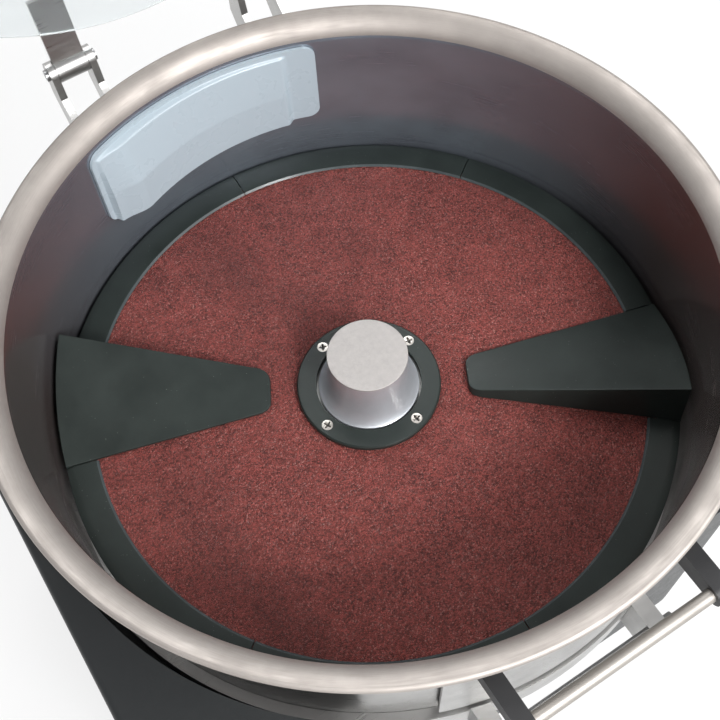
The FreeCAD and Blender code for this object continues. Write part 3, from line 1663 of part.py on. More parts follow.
def door_handle_arms():
    arms = paired("door_handle_arms_blank", door_handle_arm)
    low = "handle_level - arm_height"
    inside = cylinder("arm_inside", "door_outer_radius + fit_gap / 2", low, "2 * arm_height")
    cuts = gather("arm_cuts", [inside, handle_rod("arm_hole", "handle_radius + running_fit")])
    return add(combine("Cut", "door_handle_arms", arms, cuts), "door_handle_arms")


def door_handle_bar():
    return add(handle_rod("door_handle_bar", "handle_radius"), "door_handle_bar")


def door_hinge_pin():
    return add(hinge_rod("door_hinge_pin", "hinge_pin_radius"), "door_hinge_pin")


def door_hinge_ear(label, side):
    left = f"{side} * ear_x - ear_width / 2"
    right = f"{side} * ear_x + ear_width / 2"
    end = rod(label + "_end", "knuckle_radius", left, "ear_width", "X", **DOOR_HINGE)
    low = "pan_bottom + ear_rise"
    height = f"hinge_level + knuckle_radius - ({low})"
    ear = block(label + "_ear", left, right, "hinge_y", "-blank_radius", low, height)
    return combine("Fuse", label, end, ear)


def door_hinge_brackets():
    ears = paired("door_hinge_ears", door_hinge_ear)
    inside = cylinder("ear_inside", "pan_outer_radius + fit_gap / 2", "pan_bottom", "drum_top - pan_bottom")
    cuts = gather("ear_cuts", [inside, hinge_rod("ear_hole", "hinge_pin_radius + press_gap")])
    return add(combine("Cut", "door_hinge_brackets", ears, cuts), "door_hinge_brackets")


def front_hole(label, radius, x, level):
    """A bore through the front of the control housing."""
    return rod(label, radius, "panel_face - margin", "panel_depth + base_wall + 2 * margin", "Y", x, z=level)


def front_holes(label, button_hole, spindle_hole):
    holes = []
    for side in (-1, 1):
        x = f"panel_x + ({side}) * button_offset"
        holes.append(front_hole(f"{label}_{side}", button_hole, x, "button_level"))
    holes.append(front_hole(f"{label}_spindle", spindle_hole, "panel_x", "knob_level"))
    return gather(label, holes)


def control_housing():
    """The housing beside the drum: its inner side follows the drum and its bottom is open to the deck."""
    outside = block(
        "tower_outside",
        "-base_left",
        "-tower_right",
        "-base_front",
        "tower_back",
        "pan_bottom",
        "tower_top - pan_bottom",
        "tower_corner",
    )
    top = value("tower_top")

    def at_top(edge):
        return all(abs(vertex.Point.z - top) < 1e-6 for vertex in edge.Vertexes)

    round_edges(outside, "tower_edge", at_top)
    low = "pan_bottom - margin"
    curved = cylinder("tower_curve", "tower_radius", low, f"tower_top + margin - ({low})")
    shape = combine("Cut", "tower_shape", outside, curved)
    inside = block(
        "tower_inside",
        "base_wall - base_left",
        "-tower_right - base_wall",
        "base_wall - base_front",
        "tower_back - base_wall",
        "pan_bottom - margin",
        "tower_top - pan_bottom + margin - base_wall",
        "tower_corner - base_wall",
    )
    low = "pan_bottom - 2 * margin"
    height = f"tower_top + 2 * margin - ({low})"
    inner_curve = cylinder("tower_inner_curve", "tower_radius + base_wall", low, height)
    space = combine("Cut", "tower_space", inside, inner_curve)
    shell = combine("Cut", "tower_shell", shape, space)
    holes = front_holes("tower_holes", "button_radius + button_gap", "spindle_radius + button_gap")
    return add(combine("Cut", "control_housing", shell, holes), "control_housing")


def control_panel():
    plate = new_body("panel_plate")
    pad(
        plate,
        "XZ_Plane",
        "base_front",
        "panel_depth",
        lambda sketch: rectangle(
            sketch,
            "panel_x - panel_width / 2",
            "panel_x + panel_width / 2",
            "panel_level - panel_height / 2",
            "panel_level + panel_height / 2",
        ),
    )
    holes = front_holes("panel_holes", "button_radius + button_gap", "spindle_radius + button_gap")
    return add(combine("Cut", "control_panel", plate, holes), "control_panel")


def button_bezels():
    rings = []
    wide = "button_radius + bezel_width"
    start = "panel_face - bezel_depth"
    for side in (-1, 1):
        x = f"panel_x + ({side}) * button_offset"
        outer = rod(f"bezel_{side}_outer", wide, start, "bezel_depth", "Y", x, z="button_level")
        inner = front_hole(f"bezel_{side}_inner", "button_radius + button_gap", x, "button_level")
        bind(inner, Placement__Base__y=f"{start} - margin")
        rings.append(combine("Cut", f"bezel_{side}", outer, inner))
    return add(gather("button_bezels", rings), "button_bezels")


def push_button(name, side):
    """A push button: the cap goes through the panel and a collar behind the wall keeps it in."""
    x = f"panel_x + ({side}) * button_offset"
    start = "panel_face - button_proud"
    cap = rod(name + "_cap", "button_radius", start, "button_length", "Y", x, z="button_level")
    start = "base_wall - base_front + body_gap"
    wide = "button_radius + button_collar"
    collar = rod(name + "_collar", wide, start, "button_collar_depth", "Y", x, z="button_level")
    return add(combine("Fuse", name, cap, collar), name)


def switch_blocks():
    """The contact blocks, one behind each button, standing on the base's deck."""
    blocks = []
    start = "switch_start - base_front"
    end = f"{start} + switch_depth"
    height = "button_level + switch_rise - pan_bottom"
    for side in (-1, 1):
        x = f"panel_x + ({side}) * button_offset"
        left = f"{x} - switch_width / 2"
        right = f"{x} + switch_width / 2"
        blocks.append(block(f"switch_{side}", left, right, start, end, "pan_bottom", height))
    return add(gather("switch_blocks", blocks), "switch_blocks")


def process_timer():
    start = "base_wall - base_front"
    left = "panel_x - timer_width / 2"
    right = "panel_x + timer_width / 2"
    low = "knob_level - timer_height / 2"
    box = block("process_timer", left, right, start, f"{start} + timer_depth", low, "timer_height")
    return add(box, "process_timer")


def timer_knob():
    """The knob of the process timer: a skirt, a round grip with a bar across it, and the spindle."""
    back = "panel_face - body_gap"
    where = {"x": "panel_x", "z": "knob_level"}
    front = f"{back} - knob_depth"
    skirt = rod("knob_skirt", "knob_radius", f"{back} - knob_skirt", "knob_skirt", "Y", **where)
    length = "knob_depth - knob_bar_step - margin"
    grip = rod("knob_grip", "knob_radius - knob_grip_inset", f"{front} + knob_bar_step", length, "Y", **where)
    left = "panel_x - knob_bar_width / 2"
    right = "panel_x + knob_bar_width / 2"
    end = f"{back} - knob_skirt + margin"
    handle = block("knob_bar", left, right, front, end, "knob_level - knob_bar_drop", "knob_bar_height")
    length = "panel_depth + base_wall + margin"
    spindle = rod("knob_spindle", "spindle_radius", f"{back} - margin", length, "Y", **where)
    outside = combine("Fuse", "knob_front", combine("Fuse", "knob_round", skirt, grip), handle)
    return add(combine("Fuse", "timer_knob", outside, spindle), "timer_knob")


# The lid's dome from foot to middle: share of its radius, share of its height, share of the wall's lean.
LID_HINGE = {"y": "lid_hinge_y", "z": "lid_hinge_level"}
LID_CURVE = [(1, 0, 0), (0.94, 0.45, 0.7), (0.8, 0.72, 0.4), (0.55, 0.91, 0.2), (0.28, 0.98, 0.1), (0, 1, 0)]


def lid_cover():
    """The clear lid: a flat rim that rests on the drum and a shallow dome."""
    body = new_body("lid_cover")
    under = []
    over = []
    for share, rise, rest in LID_CURVE:
        level = f"lid_level + lid_dome * {rise}"
        under.append((f"dome_radius * {share}", level))
        over.append((f"dome_radius * {share} + lid_wall * {rest}", f"{level} + lid_wall"))
    rim = [("lid_radius", "lid_level"), ("lid_radius", "lid_level + lid_wall")]
    turn(body, rim + over + under[::-1])
    return add(swing(body, "lid_open_angle", "lid_hinge_y", "lid_hinge_level"), "lid_cover")


def lid_arm(label, side):
    left = f"{side} * lid_arm_x - lid_arm_width / 2"
    right = f"{side} * lid_arm_x + lid_arm_width / 2"
    top = "lid_level + lid_wall"
    start = "dome_radius - lid_arm_overlap"
    strap = block(label + "_strap", left, right, start, "lid_hinge_y", top, "lid_arm_depth")
    barrel = rod(label + "_barrel", "lid_barrel_radius", left, "lid_arm_width", "X", **LID_HINGE)
    start = f"({left}) - margin"
    length = "lid_arm_width + 2 * margin"
    bore = rod(label + "_bore", "lid_pin_radius + running_fit", start, length, "X", **LID_HINGE)
    return combine("Cut", label, combine("Fuse", label + "_whole", strap, barrel), bore)


def lid_arms():
    arms = paired("lid_arms", lid_arm)
    return add(swing(arms, "lid_open_angle", "lid_hinge_y", "lid_hinge_level"), "lid_arms")


def lid_handle():
    """A bow handle on the front of the lid's rim."""
    y = "-(dome_radius + lid_handle_radius + lid_handle_gap)"
    foot = "lid_level + lid_wall"
    half = "lid_handle_length / 2"

    def leg(label, side):
        return cylinder(label, "lid_handle_radius", foot, "lid_handle_height", f"{side} * {half}", y)

    legs = paired("lid_handle_legs", leg)
    bar_start = f"-{half} - lid_handle_radius"
    length = "lid_handle_length + 2 * lid_handle_radius"
    level = f"{foot} + lid_handle_height"
    grip = rod("lid_handle_bar", "lid_handle_radius", bar_start, length, "X", y=y, z=level)
    whole = combine("Fuse", "lid_handle", legs, grip)
    return add(swing(whole, "lid_open_angle", "lid_hinge_y", "lid_hinge_level"), "lid_handle")


def lid_bracket(label, side):
    """Two ears joined by a bridge on the drum's back; they go round the flare up to the lid's hinge."""
    inner = "(lid_arm_width / 2 + body_gap)"
    back = "lid_hinge_y + lid_barrel_radius"
    front = "lid_hinge_y - lid_barrel_radius"
    low = "drum_top - lid_ear_drop"
    ledge = f"{low} + lid_ear_foot"
    side_view = [
        ("blank_radius", low),
        ("lid_hinge_y - lid_ear_back", low),
        (back, "drum_top - lid_ear_shoulder"),
        (back, "lid_hinge_level"),
        (front, "lid_hinge_level"),
        (f"{front} - lid_ear_neck", "drum_top - lid_ear_throat"),
        ("lip_radius - lid_ear_reach", ledge),
        ("blank_radius", ledge),
    ]
    ears = []
    starts = (f"{side} * lid_arm_x - {inner} - lid_ear", f"{side} * lid_arm_x + {inner}")
    for number, start in enumerate(starts):
        ear = new_body(f"{label}_ear_{number}")
        pad(ear, "YZ_Plane", start, "lid_ear", lambda sketch: outline(sketch, side_view))
        end = rod(f"{label}_end_{number}", "lid_barrel_radius", start, "lid_ear", "X", **LID_HINGE)
        ears.append(combine("Fuse", f"{label}_{number}", ear, end))
    reach = f"{inner} + lid_ear"
    left = f"{side} * lid_arm_x - {reach}"
    right = f"{side} * lid_arm_x + {reach}"
    bridge_low = f"{low} + 2 * margin"
    height = "lid_ear_foot - 5 * margin"
    bridge = block(
        label + "_bridge", left, right, "blank_radius", "drum_outer_radius + margin", bridge_low, height
    )
    return combine("Fuse", label, combine("Fuse", label + "_pair", ears[0], ears[1]), bridge)


def lid_brackets():
    brackets = paired("lid_bracket_pair", lid_bracket)
    wall = "drum_outer_radius + fit_gap / 2"
    inside = cylinder("bracket_inside", wall, "pan_bottom", "drum_top - pan_bottom")
    reach = "(lid_arm_x + lid_arm_width)"
    hole = rod("bracket_hole", "lid_pin_radius + press_gap", f"-{reach}", f"2 * {reach}", "X", **LID_HINGE)
    cuts = gather("bracket_cuts", [inside, hole])
    return add(combine("Cut", "lid_brackets", brackets, cuts), "lid_brackets")


def lid_hinge_pins():
    half = "(lid_arm_width / 2 + body_gap + lid_ear + lid_pin_end)"

    def pin(label, side):
        start = f"{side} * lid_arm_x - {half}"
        return rod(label, "lid_pin_radius", start, f"2 * {half}", "X", **LID_HINGE)

    return add(paired("lid_hinge_pins", pin), "lid_hinge_pins")


def build():
    disc_plate()
    abrasive_sheet()
    for number in range(1, 2 * int(value("segment_count")) + 1):
        clamp_segment(number)
    ramp(1)
    ramp(2)
    for make in (hub_flange, hub_screws, hub_knob, hub_cap, knob_screw):
        make()
    for make in (drive_shaft, dog_pin, driven_pulley, pulley_bolt, motor_shaft, motor_pulley, drive_belt):
        make()
    bearing("bearing_upper", "upper_bearing")
    bearing("bearing_lower", "lower_bearing")
    for make in (bearing_housing, bearing_bolts, shaft_seal, drum_pan, drum_shell, drum_screws, waste_outlet):
        make()
    for make in (base_housing, base_cover, rubber_feet, cable_gland):
        make()
    for make in (motor_bracket, motor_body, motor_fan_cover):
        make()
    for make in (water_inlet, inlet_nut, water_deflector):
        make()
    for make in (door_panel, door_gasket, door_handle_arms, door_handle_bar):
        make()
    for make in (door_hinge_pin, door_hinge_brackets):
        make()
    for make in (control_housing, control_panel, button_bezels, switch_blocks, process_timer, timer_knob):
        make()
    push_button("start_button", -1)
    push_button("stop_button", 1)
    for make in (lid_cover, lid_arms, lid_handle, lid_brackets, lid_hinge_pins):
        make()


def check():
    """Stop before anything is written if an object or a shape is wrong."""
    for item in doc.Objects:
        if "Invalid" in item.State or "Error" in item.State:
            raise RuntimeError(f"{item.Label}: state {item.State}")
    for name, item in parts:
        if item.Shape.isNull() or not item.Shape.isValid() or not item.Shape.Solids:
            raise RuntimeError(f"{name}: no valid solid")
    for item in doc.Objects:
        if item.TypeId in ("Part::Common", "Part::Cut", "Part::Fuse") and not item.Shape.Solids:
            raise RuntimeError(f"{item.Label}: the boolean leaves nothing")


fill_sheet()
build()
doc.recompute()
check()
os.makedirs("parts", exist_ok=True)
for name, item in parts:
    item.Shape.exportStep(f"parts/{name}.step")
print(len(parts), "sub-parts,", sum(len(item.Shape.Solids) for name, item in parts), "solids")
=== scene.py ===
import math

import bmesh
import bpy
import numpy as np
from mathutils import Matrix, Vector, noise


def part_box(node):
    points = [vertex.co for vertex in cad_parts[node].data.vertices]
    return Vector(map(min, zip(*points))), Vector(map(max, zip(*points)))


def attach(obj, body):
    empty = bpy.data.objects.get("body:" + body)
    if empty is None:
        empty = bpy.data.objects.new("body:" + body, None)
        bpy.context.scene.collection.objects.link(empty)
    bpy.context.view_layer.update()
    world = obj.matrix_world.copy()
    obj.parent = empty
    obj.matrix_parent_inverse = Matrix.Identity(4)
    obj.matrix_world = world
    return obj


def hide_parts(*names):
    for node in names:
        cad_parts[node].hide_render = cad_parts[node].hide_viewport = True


bl_info = {
    "name": "Potato Peeling Machine",
    "version": (1, 0, 0),
    "blender": (4, 5, 0),
    "location": "View3D > Sidebar > Peeler",
    "description": "Dresses a drum peeling machine: abrasive disc, ramps, hub, deflector, lid and controls",
    "category": "Object",
}

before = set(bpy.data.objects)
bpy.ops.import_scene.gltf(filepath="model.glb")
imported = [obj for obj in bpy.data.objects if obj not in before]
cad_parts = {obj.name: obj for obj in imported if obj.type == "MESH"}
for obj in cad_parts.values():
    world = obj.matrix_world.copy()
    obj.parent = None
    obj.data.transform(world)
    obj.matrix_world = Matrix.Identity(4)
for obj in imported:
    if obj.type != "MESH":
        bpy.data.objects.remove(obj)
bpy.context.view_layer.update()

DRUM_LOW, DRUM_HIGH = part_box("drum_shell")
SHEET_LOW, SHEET_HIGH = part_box("abrasive_sheet")
CLAMP_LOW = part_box("clamp_segment_1")[0]
CAP_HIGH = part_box("hub_cap")[1]

# Direction of the first ramp at rest. The hub's screws follow it.
DISC_TURN = math.radians(151.4)

# Radii of the clamp ring: its lip on the abrasive, where it sits beside the abrasive, and its outside.
RING_INNER, RING_SEAT, RING_OUTER = 0.1900, 0.1970, 0.2120

# The camera, fitted to the circles that the photo shows. The three directions are in the world.
LENS, SENSOR = 53.56, 36.0
CAMERA_SPOT = (-0.1695, -0.2942, 0.9902)
CAMERA_RIGHT = (0.8421, -0.5383, -0.0330)
CAMERA_UP = (0.4866, 0.7321, 0.4767)
CAMERA_AHEAD = (0.2324, 0.4175, -0.8785)

# Name, place, aim, size and power of each lamp.
LAMPS = (
    ("key", (0.45, 1.15, 1.95), (0.0, 0.0, 0.35), (1.0, 1.0), 22.0),
    ("fill", (0.75, -1.35, 1.75), (0.0, 0.0, 0.35), (1.5, 1.5), 33.0),
    ("front", (-0.9, -2.0, 1.4), (0.0, 0.0, 0.3), (1.4, 1.0), 14.0),
    ("hub", (0.05, -1.25, 1.5), (0.0, 0.0, 0.35), (0.3, 0.3), 19.0),
)


def mesh_object(name, verts, faces, material=None, smooth=True):
    """A new object from plain lists of corners and faces, with its normals outwards."""
    mesh = bpy.data.meshes.new(name)
    mesh.from_pydata([tuple(v) for v in verts], [], faces)
    mesh.validate()
    obj = bpy.data.objects.new(name, mesh)
    bpy.context.scene.collection.objects.link(obj)
    tidy = bmesh.new()
    tidy.from_mesh(mesh)
    bmesh.ops.recalc_face_normals(tidy, faces=tidy.faces)
    tidy.to_mesh(mesh)
    tidy.free()
    if smooth:
        mesh.shade_smooth()
    if material:
        mesh.materials.append(material)
    return obj


def apply_modifiers(obj):
    """Make the object's modifiers part of its mesh."""
    graph = bpy.context.evaluated_depsgraph_get()
    mesh = bpy.data.meshes.new_from_object(obj.evaluated_get(graph), depsgraph=graph)
    obj.modifiers.clear()
    obj.data = mesh
    return obj


def soften(obj, width, segments=3, angle=35.0):
    """Round the sharp edges, then keep the flat faces flat with weighted normals."""
    bevel = obj.modifiers.new("edges", "BEVEL")
    bevel.width = width
    bevel.segments = segments
    bevel.limit_method = "ANGLE"
    bevel.angle_limit = math.radians(angle)
    bevel.use_clamp_overlap = True
    bevel.harden_normals = False
    weighted = obj.modifiers.new("normals", "WEIGHTED_NORMAL")
    weighted.keep_sharp = False
    return apply_modifiers(obj)


def turned(name, profile, material, segments=128, start=0.0, span=360.0):
    """Revolve a closed outline of (radius, level) pairs about the drum's axis; start and span in degrees."""
    whole = abs(span - 360.0) < 1e-6
    steps = segments if whole else segments + 1
    verts = []
    for step in range(steps):
        angle = math.radians(start + span * step / segments)
        verts += [(r * math.cos(angle), r * math.sin(angle), z) for r, z in profile]
    count = len(profile)
    faces = []
    for step in range(segments):
        a = step * count
        b = ((step + 1) % steps) * count
        for index in range(count):
            following = (index + 1) % count
            faces.append((a + index, a + following, b + following, b + index))
    if not whole:
        faces.append(tuple(range(count)))
        faces.append(tuple(reversed(range((steps - 1) * count, steps * count))))
    obj = mesh_object(name, verts, faces, material)
    weld = bmesh.new()
    weld.from_mesh(obj.data)
    bmesh.ops.remove_doubles(weld, verts=weld.verts, dist=1e-6)
    bmesh.ops.dissolve_degenerate(weld, edges=weld.edges, dist=1e-7)
    weld.to_mesh(obj.data)
    weld.free()
    return obj


def arc_points(x, y, radius, first, last, steps):
    """Points on an arc between two angles in degrees."""
    angles = [math.radians(first + (last - first) * step / steps) for step in range(steps + 1)]
    return [(x + radius * math.cos(angle), y + radius * math.sin(angle)) for angle in angles]


def box_mesh(name, low, high, material, edge):
    """A box between two corners with softened edges."""
    verts = [(x, y, z) for x in (low[0], high[0]) for y in (low[1], high[1]) for z in (low[2], high[2])]
    faces = [(0, 1, 3, 2), (4, 6, 7, 5), (0, 4, 5, 1), (2, 3, 7, 6), (0, 2, 6, 4), (1, 5, 7, 3)]
    return soften(mesh_object(name, verts, faces, material, smooth=False), edge)


def place(obj, body, material_slot, *nodes):
    """Let a piece ride on a body and stand for CAD nodes. The material slot is ignored."""
    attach(obj, body)
    if nodes:
        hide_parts(*nodes)
    return obj


def dress(material, *names):
    """Give CAD nodes a finish."""
    for name in names:
        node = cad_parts[name]
        node.data.materials.clear()
        node.data.materials.append(material)


class Finish:
    """A material with short calls for the nodes that the finishes share. Places are in metres, at rest."""

    def __init__(self, name, colour, metallic=0.0, roughness=0.5):
        self.material = bpy.data.materials.new(name)
        self.material.use_nodes = True
        self.tree = self.material.node_tree
        self.shader = self.tree.nodes["Principled BSDF"]
        self.shader.inputs["Base Color"].default_value = (*colour[:3], 1.0)
        self.shader.inputs["Metallic"].default_value = metallic
        self.shader.inputs["Roughness"].default_value = roughness
        self.place = self.node("ShaderNodeTexCoord").outputs["Object"]

    def node(self, kind, **settings):
        """A new node with its settings."""
        made = self.tree.nodes.new(kind)
        for key, setting in settings.items():
            setattr(made, key, setting)
        return made

    def join(self, output, socket):
        self.tree.links.new(output, socket)

    def feed(self, socket, given):
        """Give a socket either another node's output or a plain number or colour."""
        if isinstance(given, bpy.types.NodeSocket):
            self.join(given, socket)
        else:
            socket.default_value = given

    def maths(self, operation, first, second=0.0, third=0.0):
        made = self.node("ShaderNodeMath", operation=operation)
        for socket, given in zip(made.inputs, (first, second, third)):
            self.feed(socket, given)
        return made.outputs[0]

    def stretched(self, x, y, z, source=None):
        """The place, stretched by three factors."""
        made = self.node("ShaderNodeMapping")
        self.join(source or self.place, made.inputs["Vector"])
        made.inputs["Scale"].default_value = (x, y, z)
        return made.outputs[0]

    def around(self, turn_scale, level_scale, reach_scale=0.0):
        """Places for marks that run around the drum's axis: angle, level and distance, each with a scale."""
        parts = self.node("ShaderNodeSeparateXYZ")
        self.join(self.place, parts.inputs[0])
        x, y, z = parts.outputs
        angle = self.maths("ARCTAN2", y, x)
        squares = self.maths("ADD", self.maths("MULTIPLY", x, x), self.maths("MULTIPLY", y, y))
        reach = self.maths("SQRT", squares)
        joined = self.node("ShaderNodeCombineXYZ")
        self.join(self.maths("MULTIPLY", angle, turn_scale), joined.inputs[0])
        self.join(self.maths("MULTIPLY", z, level_scale), joined.inputs[1])
        self.join(self.maths("MULTIPLY", reach, reach_scale), joined.inputs[2])
        return joined.outputs[0]

    def noise(self, scale, detail=4.0, roughness=0.55, source=None):
        made = self.node("ShaderNodeTexNoise")
        self.join(source or self.place, made.inputs["Vector"])
        made.inputs["Scale"].default_value = scale
        made.inputs["Detail"].default_value = detail
        made.inputs["Roughness"].default_value = roughness
        return made.outputs["Fac"]

    def cells(self, scale):
        """Cells with a distance and a colour each."""
        made = self.node("ShaderNodeTexVoronoi")
        self.join(self.place, made.inputs["Vector"])
        made.inputs["Scale"].default_value = scale
        return made

    def spread(self, source, low, high, from_low=0.3, from_high=0.7):
        """Map a value onto a range, held at both ends."""
        made = self.node("ShaderNodeMapRange")
        self.join(source, made.inputs["Value"])
        made.inputs["From Min"].default_value = from_low
        made.inputs["From Max"].default_value = from_high
        made.inputs["To Min"].default_value = low
        made.inputs["To Max"].default_value = high
        return made.outputs["Result"]

    def mix(self, share, first, second):
        made = self.node("ShaderNodeMix", data_type="RGBA")
        self.feed(made.inputs[0], share)
        for socket, given in ((made.inputs[6], first), (made.inputs[7], second)):
            if not isinstance(given, bpy.types.NodeSocket):
                given = (*given[:3], 1.0)
            self.feed(socket, given)
        return made.outputs[2]

    def colour(self, output):
        self.join(output, self.shader.inputs["Base Color"])

    def rough(self, output):
        self.join(output, self.shader.inputs["Roughness"])

    def relief(self, height, strength, distance, after=None):
        """Bump from a height; after is an earlier relief's output."""
        made = self.node("ShaderNodeBump")
        made.inputs["Strength"].default_value = strength
        made.inputs["Distance"].default_value = distance
        self.join(height, made.inputs["Height"])
        if after:
            self.join(after, made.inputs["Normal"])
        self.join(made.outputs[0], self.shader.inputs["Normal"])
        return made.outputs[0]


def scaled(colour, factor):
    return tuple(channel * factor for channel in colour[:3])


def polished_finish(name, colour, roughness, stain, film):
    """Rolled steel sheet: faint lines around the drum, smears, and a painted brownish shade and reflection
    away from the back wall.
    """
    f = Finish(name, colour, 0.72, roughness)
    lines = f.noise(1.0, 5.0, 0.6, f.around(5.0, 2600.0, 2600.0))
    broad = f.noise(1.0, 3.0, 0.5, f.around(3.0, 22.0))
    smear = f.spread(broad, 0.0, 1.0, 0.40, 0.68)
    dull = f.maths("MULTIPLY", smear, 0.06)
    f.rough(f.maths("ADD", f.spread(lines, roughness * 0.85, roughness * 1.2), dull))
    body = f.mix(f.maths("MULTIPLY", smear, 0.6), colour, stain)
    parts = f.node("ShaderNodeSeparateXYZ")
    f.join(f.place, parts.inputs[0])
    x, y, _ = parts.outputs
    # Painted shade and reflection: towards the front and sides the sheet's colour turns dark brown; the back
    # wall stays clean.
    back = f.maths("ADD", f.maths("MULTIPLY", x, 0.35), f.maths("MULTIPLY", y, 0.94))
    shaded_side = f.spread(f.maths("ADD", back, f.maths("MULTIPLY", broad, 0.08)), 1.0, 0.0, 0.06, 0.22)
    f.colour(f.mix(shaded_side, body, film))
    f.relief(lines, 0.05, 0.0002)
    return f.material


def satin_finish(name, colour, roughness, around=False, metallic=1.0):
    """Satin metal with fine brushing, either around the drum's axis or along X."""
    f = Finish(name, colour, metallic, roughness)
    source = f.around(14.0, 2400.0, 2400.0) if around else f.stretched(18.0, 1500.0, 1500.0)
    lines = f.noise(1.0, 4.0, 0.6, source)
    patches = f.noise(45.0, 4.0)
    f.rough(f.maths("ADD", f.spread(lines, roughness * 0.75, roughness * 1.2), f.spread(patches, 0.0, 0.08)))
    f.colour(f.mix(f.spread(patches, 0.0, 1.0), colour, scaled(colour, 0.86)))
    f.relief(lines, 0.08, 0.0002)
    return f.material


def cast_finish(name, colour, roughness, metallic=1.0):
    """Cast metal with a fine pebbled skin and darker pores."""
    f = Finish(name, colour, metallic, roughness)
    skin = f.noise(900.0, 3.0, 0.6)
    pores = f.noise(220.0, 5.0, 0.7)
    f.colour(f.mix(f.spread(pores, 0.0, 1.0, 0.35, 0.75), scaled(colour, 0.8), colour))
    f.rough(f.spread(pores, roughness * 0.85, roughness * 1.2))
    f.relief(skin, 0.25, 0.0004)
    return f.material


def coat_finish(name, colour, roughness):
    """The dark satin coat of the clamp ring, the ramps and the hub flange, with haze and dust specks."""
    f = Finish(name, colour, 0.0, roughness)
    f.shader.inputs["Specular IOR Level"].default_value = 0.22
    grain = f.noise(1500.0, 3.0, 0.6)
    haze = f.noise(30.0, 5.0, 0.6)
    specks = f.cells(420.0)
    speck = f.spread(specks.outputs["Distance"], 1.0, 0.0, 0.05, 0.12)
    chosen = f.maths("GREATER_THAN", f.noise(140.0, 2.0), 0.60)
    body = f.mix(f.spread(haze, 0.0, 1.0), scaled(colour, 0.86), scaled(colour, 1.22))
    f.colour(f.mix(f.maths("MULTIPLY", f.maths("MULTIPLY", speck, chosen), 0.5), body, (0.30, 0.31, 0.29)))
    f.rough(f.maths("ADD", f.spread(haze, roughness - 0.06, roughness + 0.08), f.spread(grain, -0.02, 0.05)))
    f.relief(grain, 0.12, 0.0003)
    return f.material


def grit_finish(name, dark, light, glint_colour):
    """Bonded abrasive: red-brown grains in a resin, worn darker in patches, with painted glints on some
    grains and painted shade in the hollows between them.
    """
    f = Finish(name, dark, 0.0, 0.6)
    f.shader.inputs["Specular IOR Level"].default_value = 0.55
    grains = f.cells(1080.0)
    fine = f.cells(2100.0)
    wear = f.noise(7.0, 4.0, 0.6)
    blotch = f.noise(60.0, 4.0, 0.65)
    tone = f.node("ShaderNodeSeparateColor")
    f.join(grains.outputs["Color"], tone.inputs[0])
    share = f.maths("ADD", f.maths("MULTIPLY", tone.outputs[0], 0.9), f.spread(blotch, -0.12, 0.16))
    share = f.maths("ADD", share, f.spread(wear, -0.06, 0.12))
    body = f.mix(f.maths("MAXIMUM", f.maths("MINIMUM", share, 1.0), 0.0), dark, light)
    # Painted glints: a few grains, more of them in the lighter patches, take a light colour that stands in
    # for a glint.
    glint = f.maths("MULTIPLY", f.maths("GREATER_THAN", tone.outputs[1], 0.935), f.spread(wear, 0.25, 0.7))
    body = f.mix(glint, body, glint_colour)
    smudge = f.spread(f.noise(11.0, 2.0, 0.4, f.stretched(1.0, 0.7, 1.0)), 0.0, 0.35, 0.56, 0.72)
    body = f.mix(smudge, body, scaled(dark, 0.55))
    # Painted shade: the low gaps between the bumped grains are darkened.
    pit_shade = f.spread(grains.outputs["Distance"], 0.0, 1.0, 0.35, 0.95)
    f.colour(f.mix(f.maths("MULTIPLY", pit_shade, 0.6), body, scaled(dark, 0.45)))
    f.rough(f.spread(tone.outputs[2], 0.28, 0.72, 0.0, 1.0))
    first = f.relief(f.maths("SUBTRACT", 1.0, grains.outputs["Distance"]), 0.9, 0.0013)
    f.relief(fine.outputs["Distance"], 0.4, 0.0004, after=first)
    return f.material


def plastic_finish(name, colour, roughness):
    """Moulded plastic with a fine skin and slightly uneven gloss."""
    f = Finish(name, colour, 0.0, roughness)
    skin = f.noise(600.0, 3.0, 0.6)
    haze = f.noise(35.0, 4.0)
    f.colour(f.mix(f.spread(haze, 0.0, 1.0), scaled(colour, 0.92), scaled(colour, 1.06)))
    f.rough(f.spread(haze, roughness * 0.85, roughness * 1.2))
    f.relief(skin, 0.06, 0.0003)
    return f.material


def deflector_finish(name, colour):
    """Milky plastic, a touch uneven in tone and gloss."""
    f = Finish(name, colour, 0.0, 0.2)
    cloud = f.noise(9.0, 2.0, 0.4)
    wiped = f.noise(5.0, 3.0, 0.5, f.around(2.0, 9.0))
    f.colour(f.mix(f.spread(cloud, 0.0, 1.0), scaled(colour, 0.97), scaled(colour, 1.02)))
    f.rough(f.maths("ADD", f.spread(wiped, 0.24, 0.29), f.spread(cloud, 0.0, 0.03)))
    f.relief(f.noise(260.0, 2.0), 0.02, 0.0002)
    return f.material


def clear_finish(name, colour):
    """Clear sheet with a trace of haze and fine wiping marks."""
    f = Finish(name, colour, 0.0, 0.04)
    f.shader.inputs["Transmission Weight"].default_value = 0.94
    f.shader.inputs["IOR"].default_value = 1.5
    wipes = f.noise(1.0, 4.0, 0.6, f.stretched(20.0, 260.0, 260.0))
    haze = f.noise(12.0, 5.0)
    f.rough(f.maths("ADD", f.spread(wipes, 0.02, 0.06), f.spread(haze, 0.0, 0.05)))
    f.colour(f.mix(f.spread(haze, 0.0, 1.0), scaled(colour, 0.97), colour))
    f.relief(wipes, 0.015, 0.0002)
    return f.material


def paint_finish(name, colour, roughness):
    """Stoved texture paint: an even orange peel over a slow change of tone."""
    f = Finish(name, colour, 0.0, roughness)
    peel = f.noise(420.0, 3.0, 0.55)
    tone = f.noise(5.0, 3.0)
    scuff = f.noise(70.0, 6.0, 0.7)
    f.colour(f.mix(f.spread(tone, 0.0, 1.0), scaled(colour, 0.9), scaled(colour, 1.12)))
    f.rough(f.maths("ADD", f.spread(peel, roughness - 0.04, roughness + 0.05), f.spread(scuff, -0.03, 0.05)))
    f.relief(peel, 0.18, 0.0006)
    return f.material


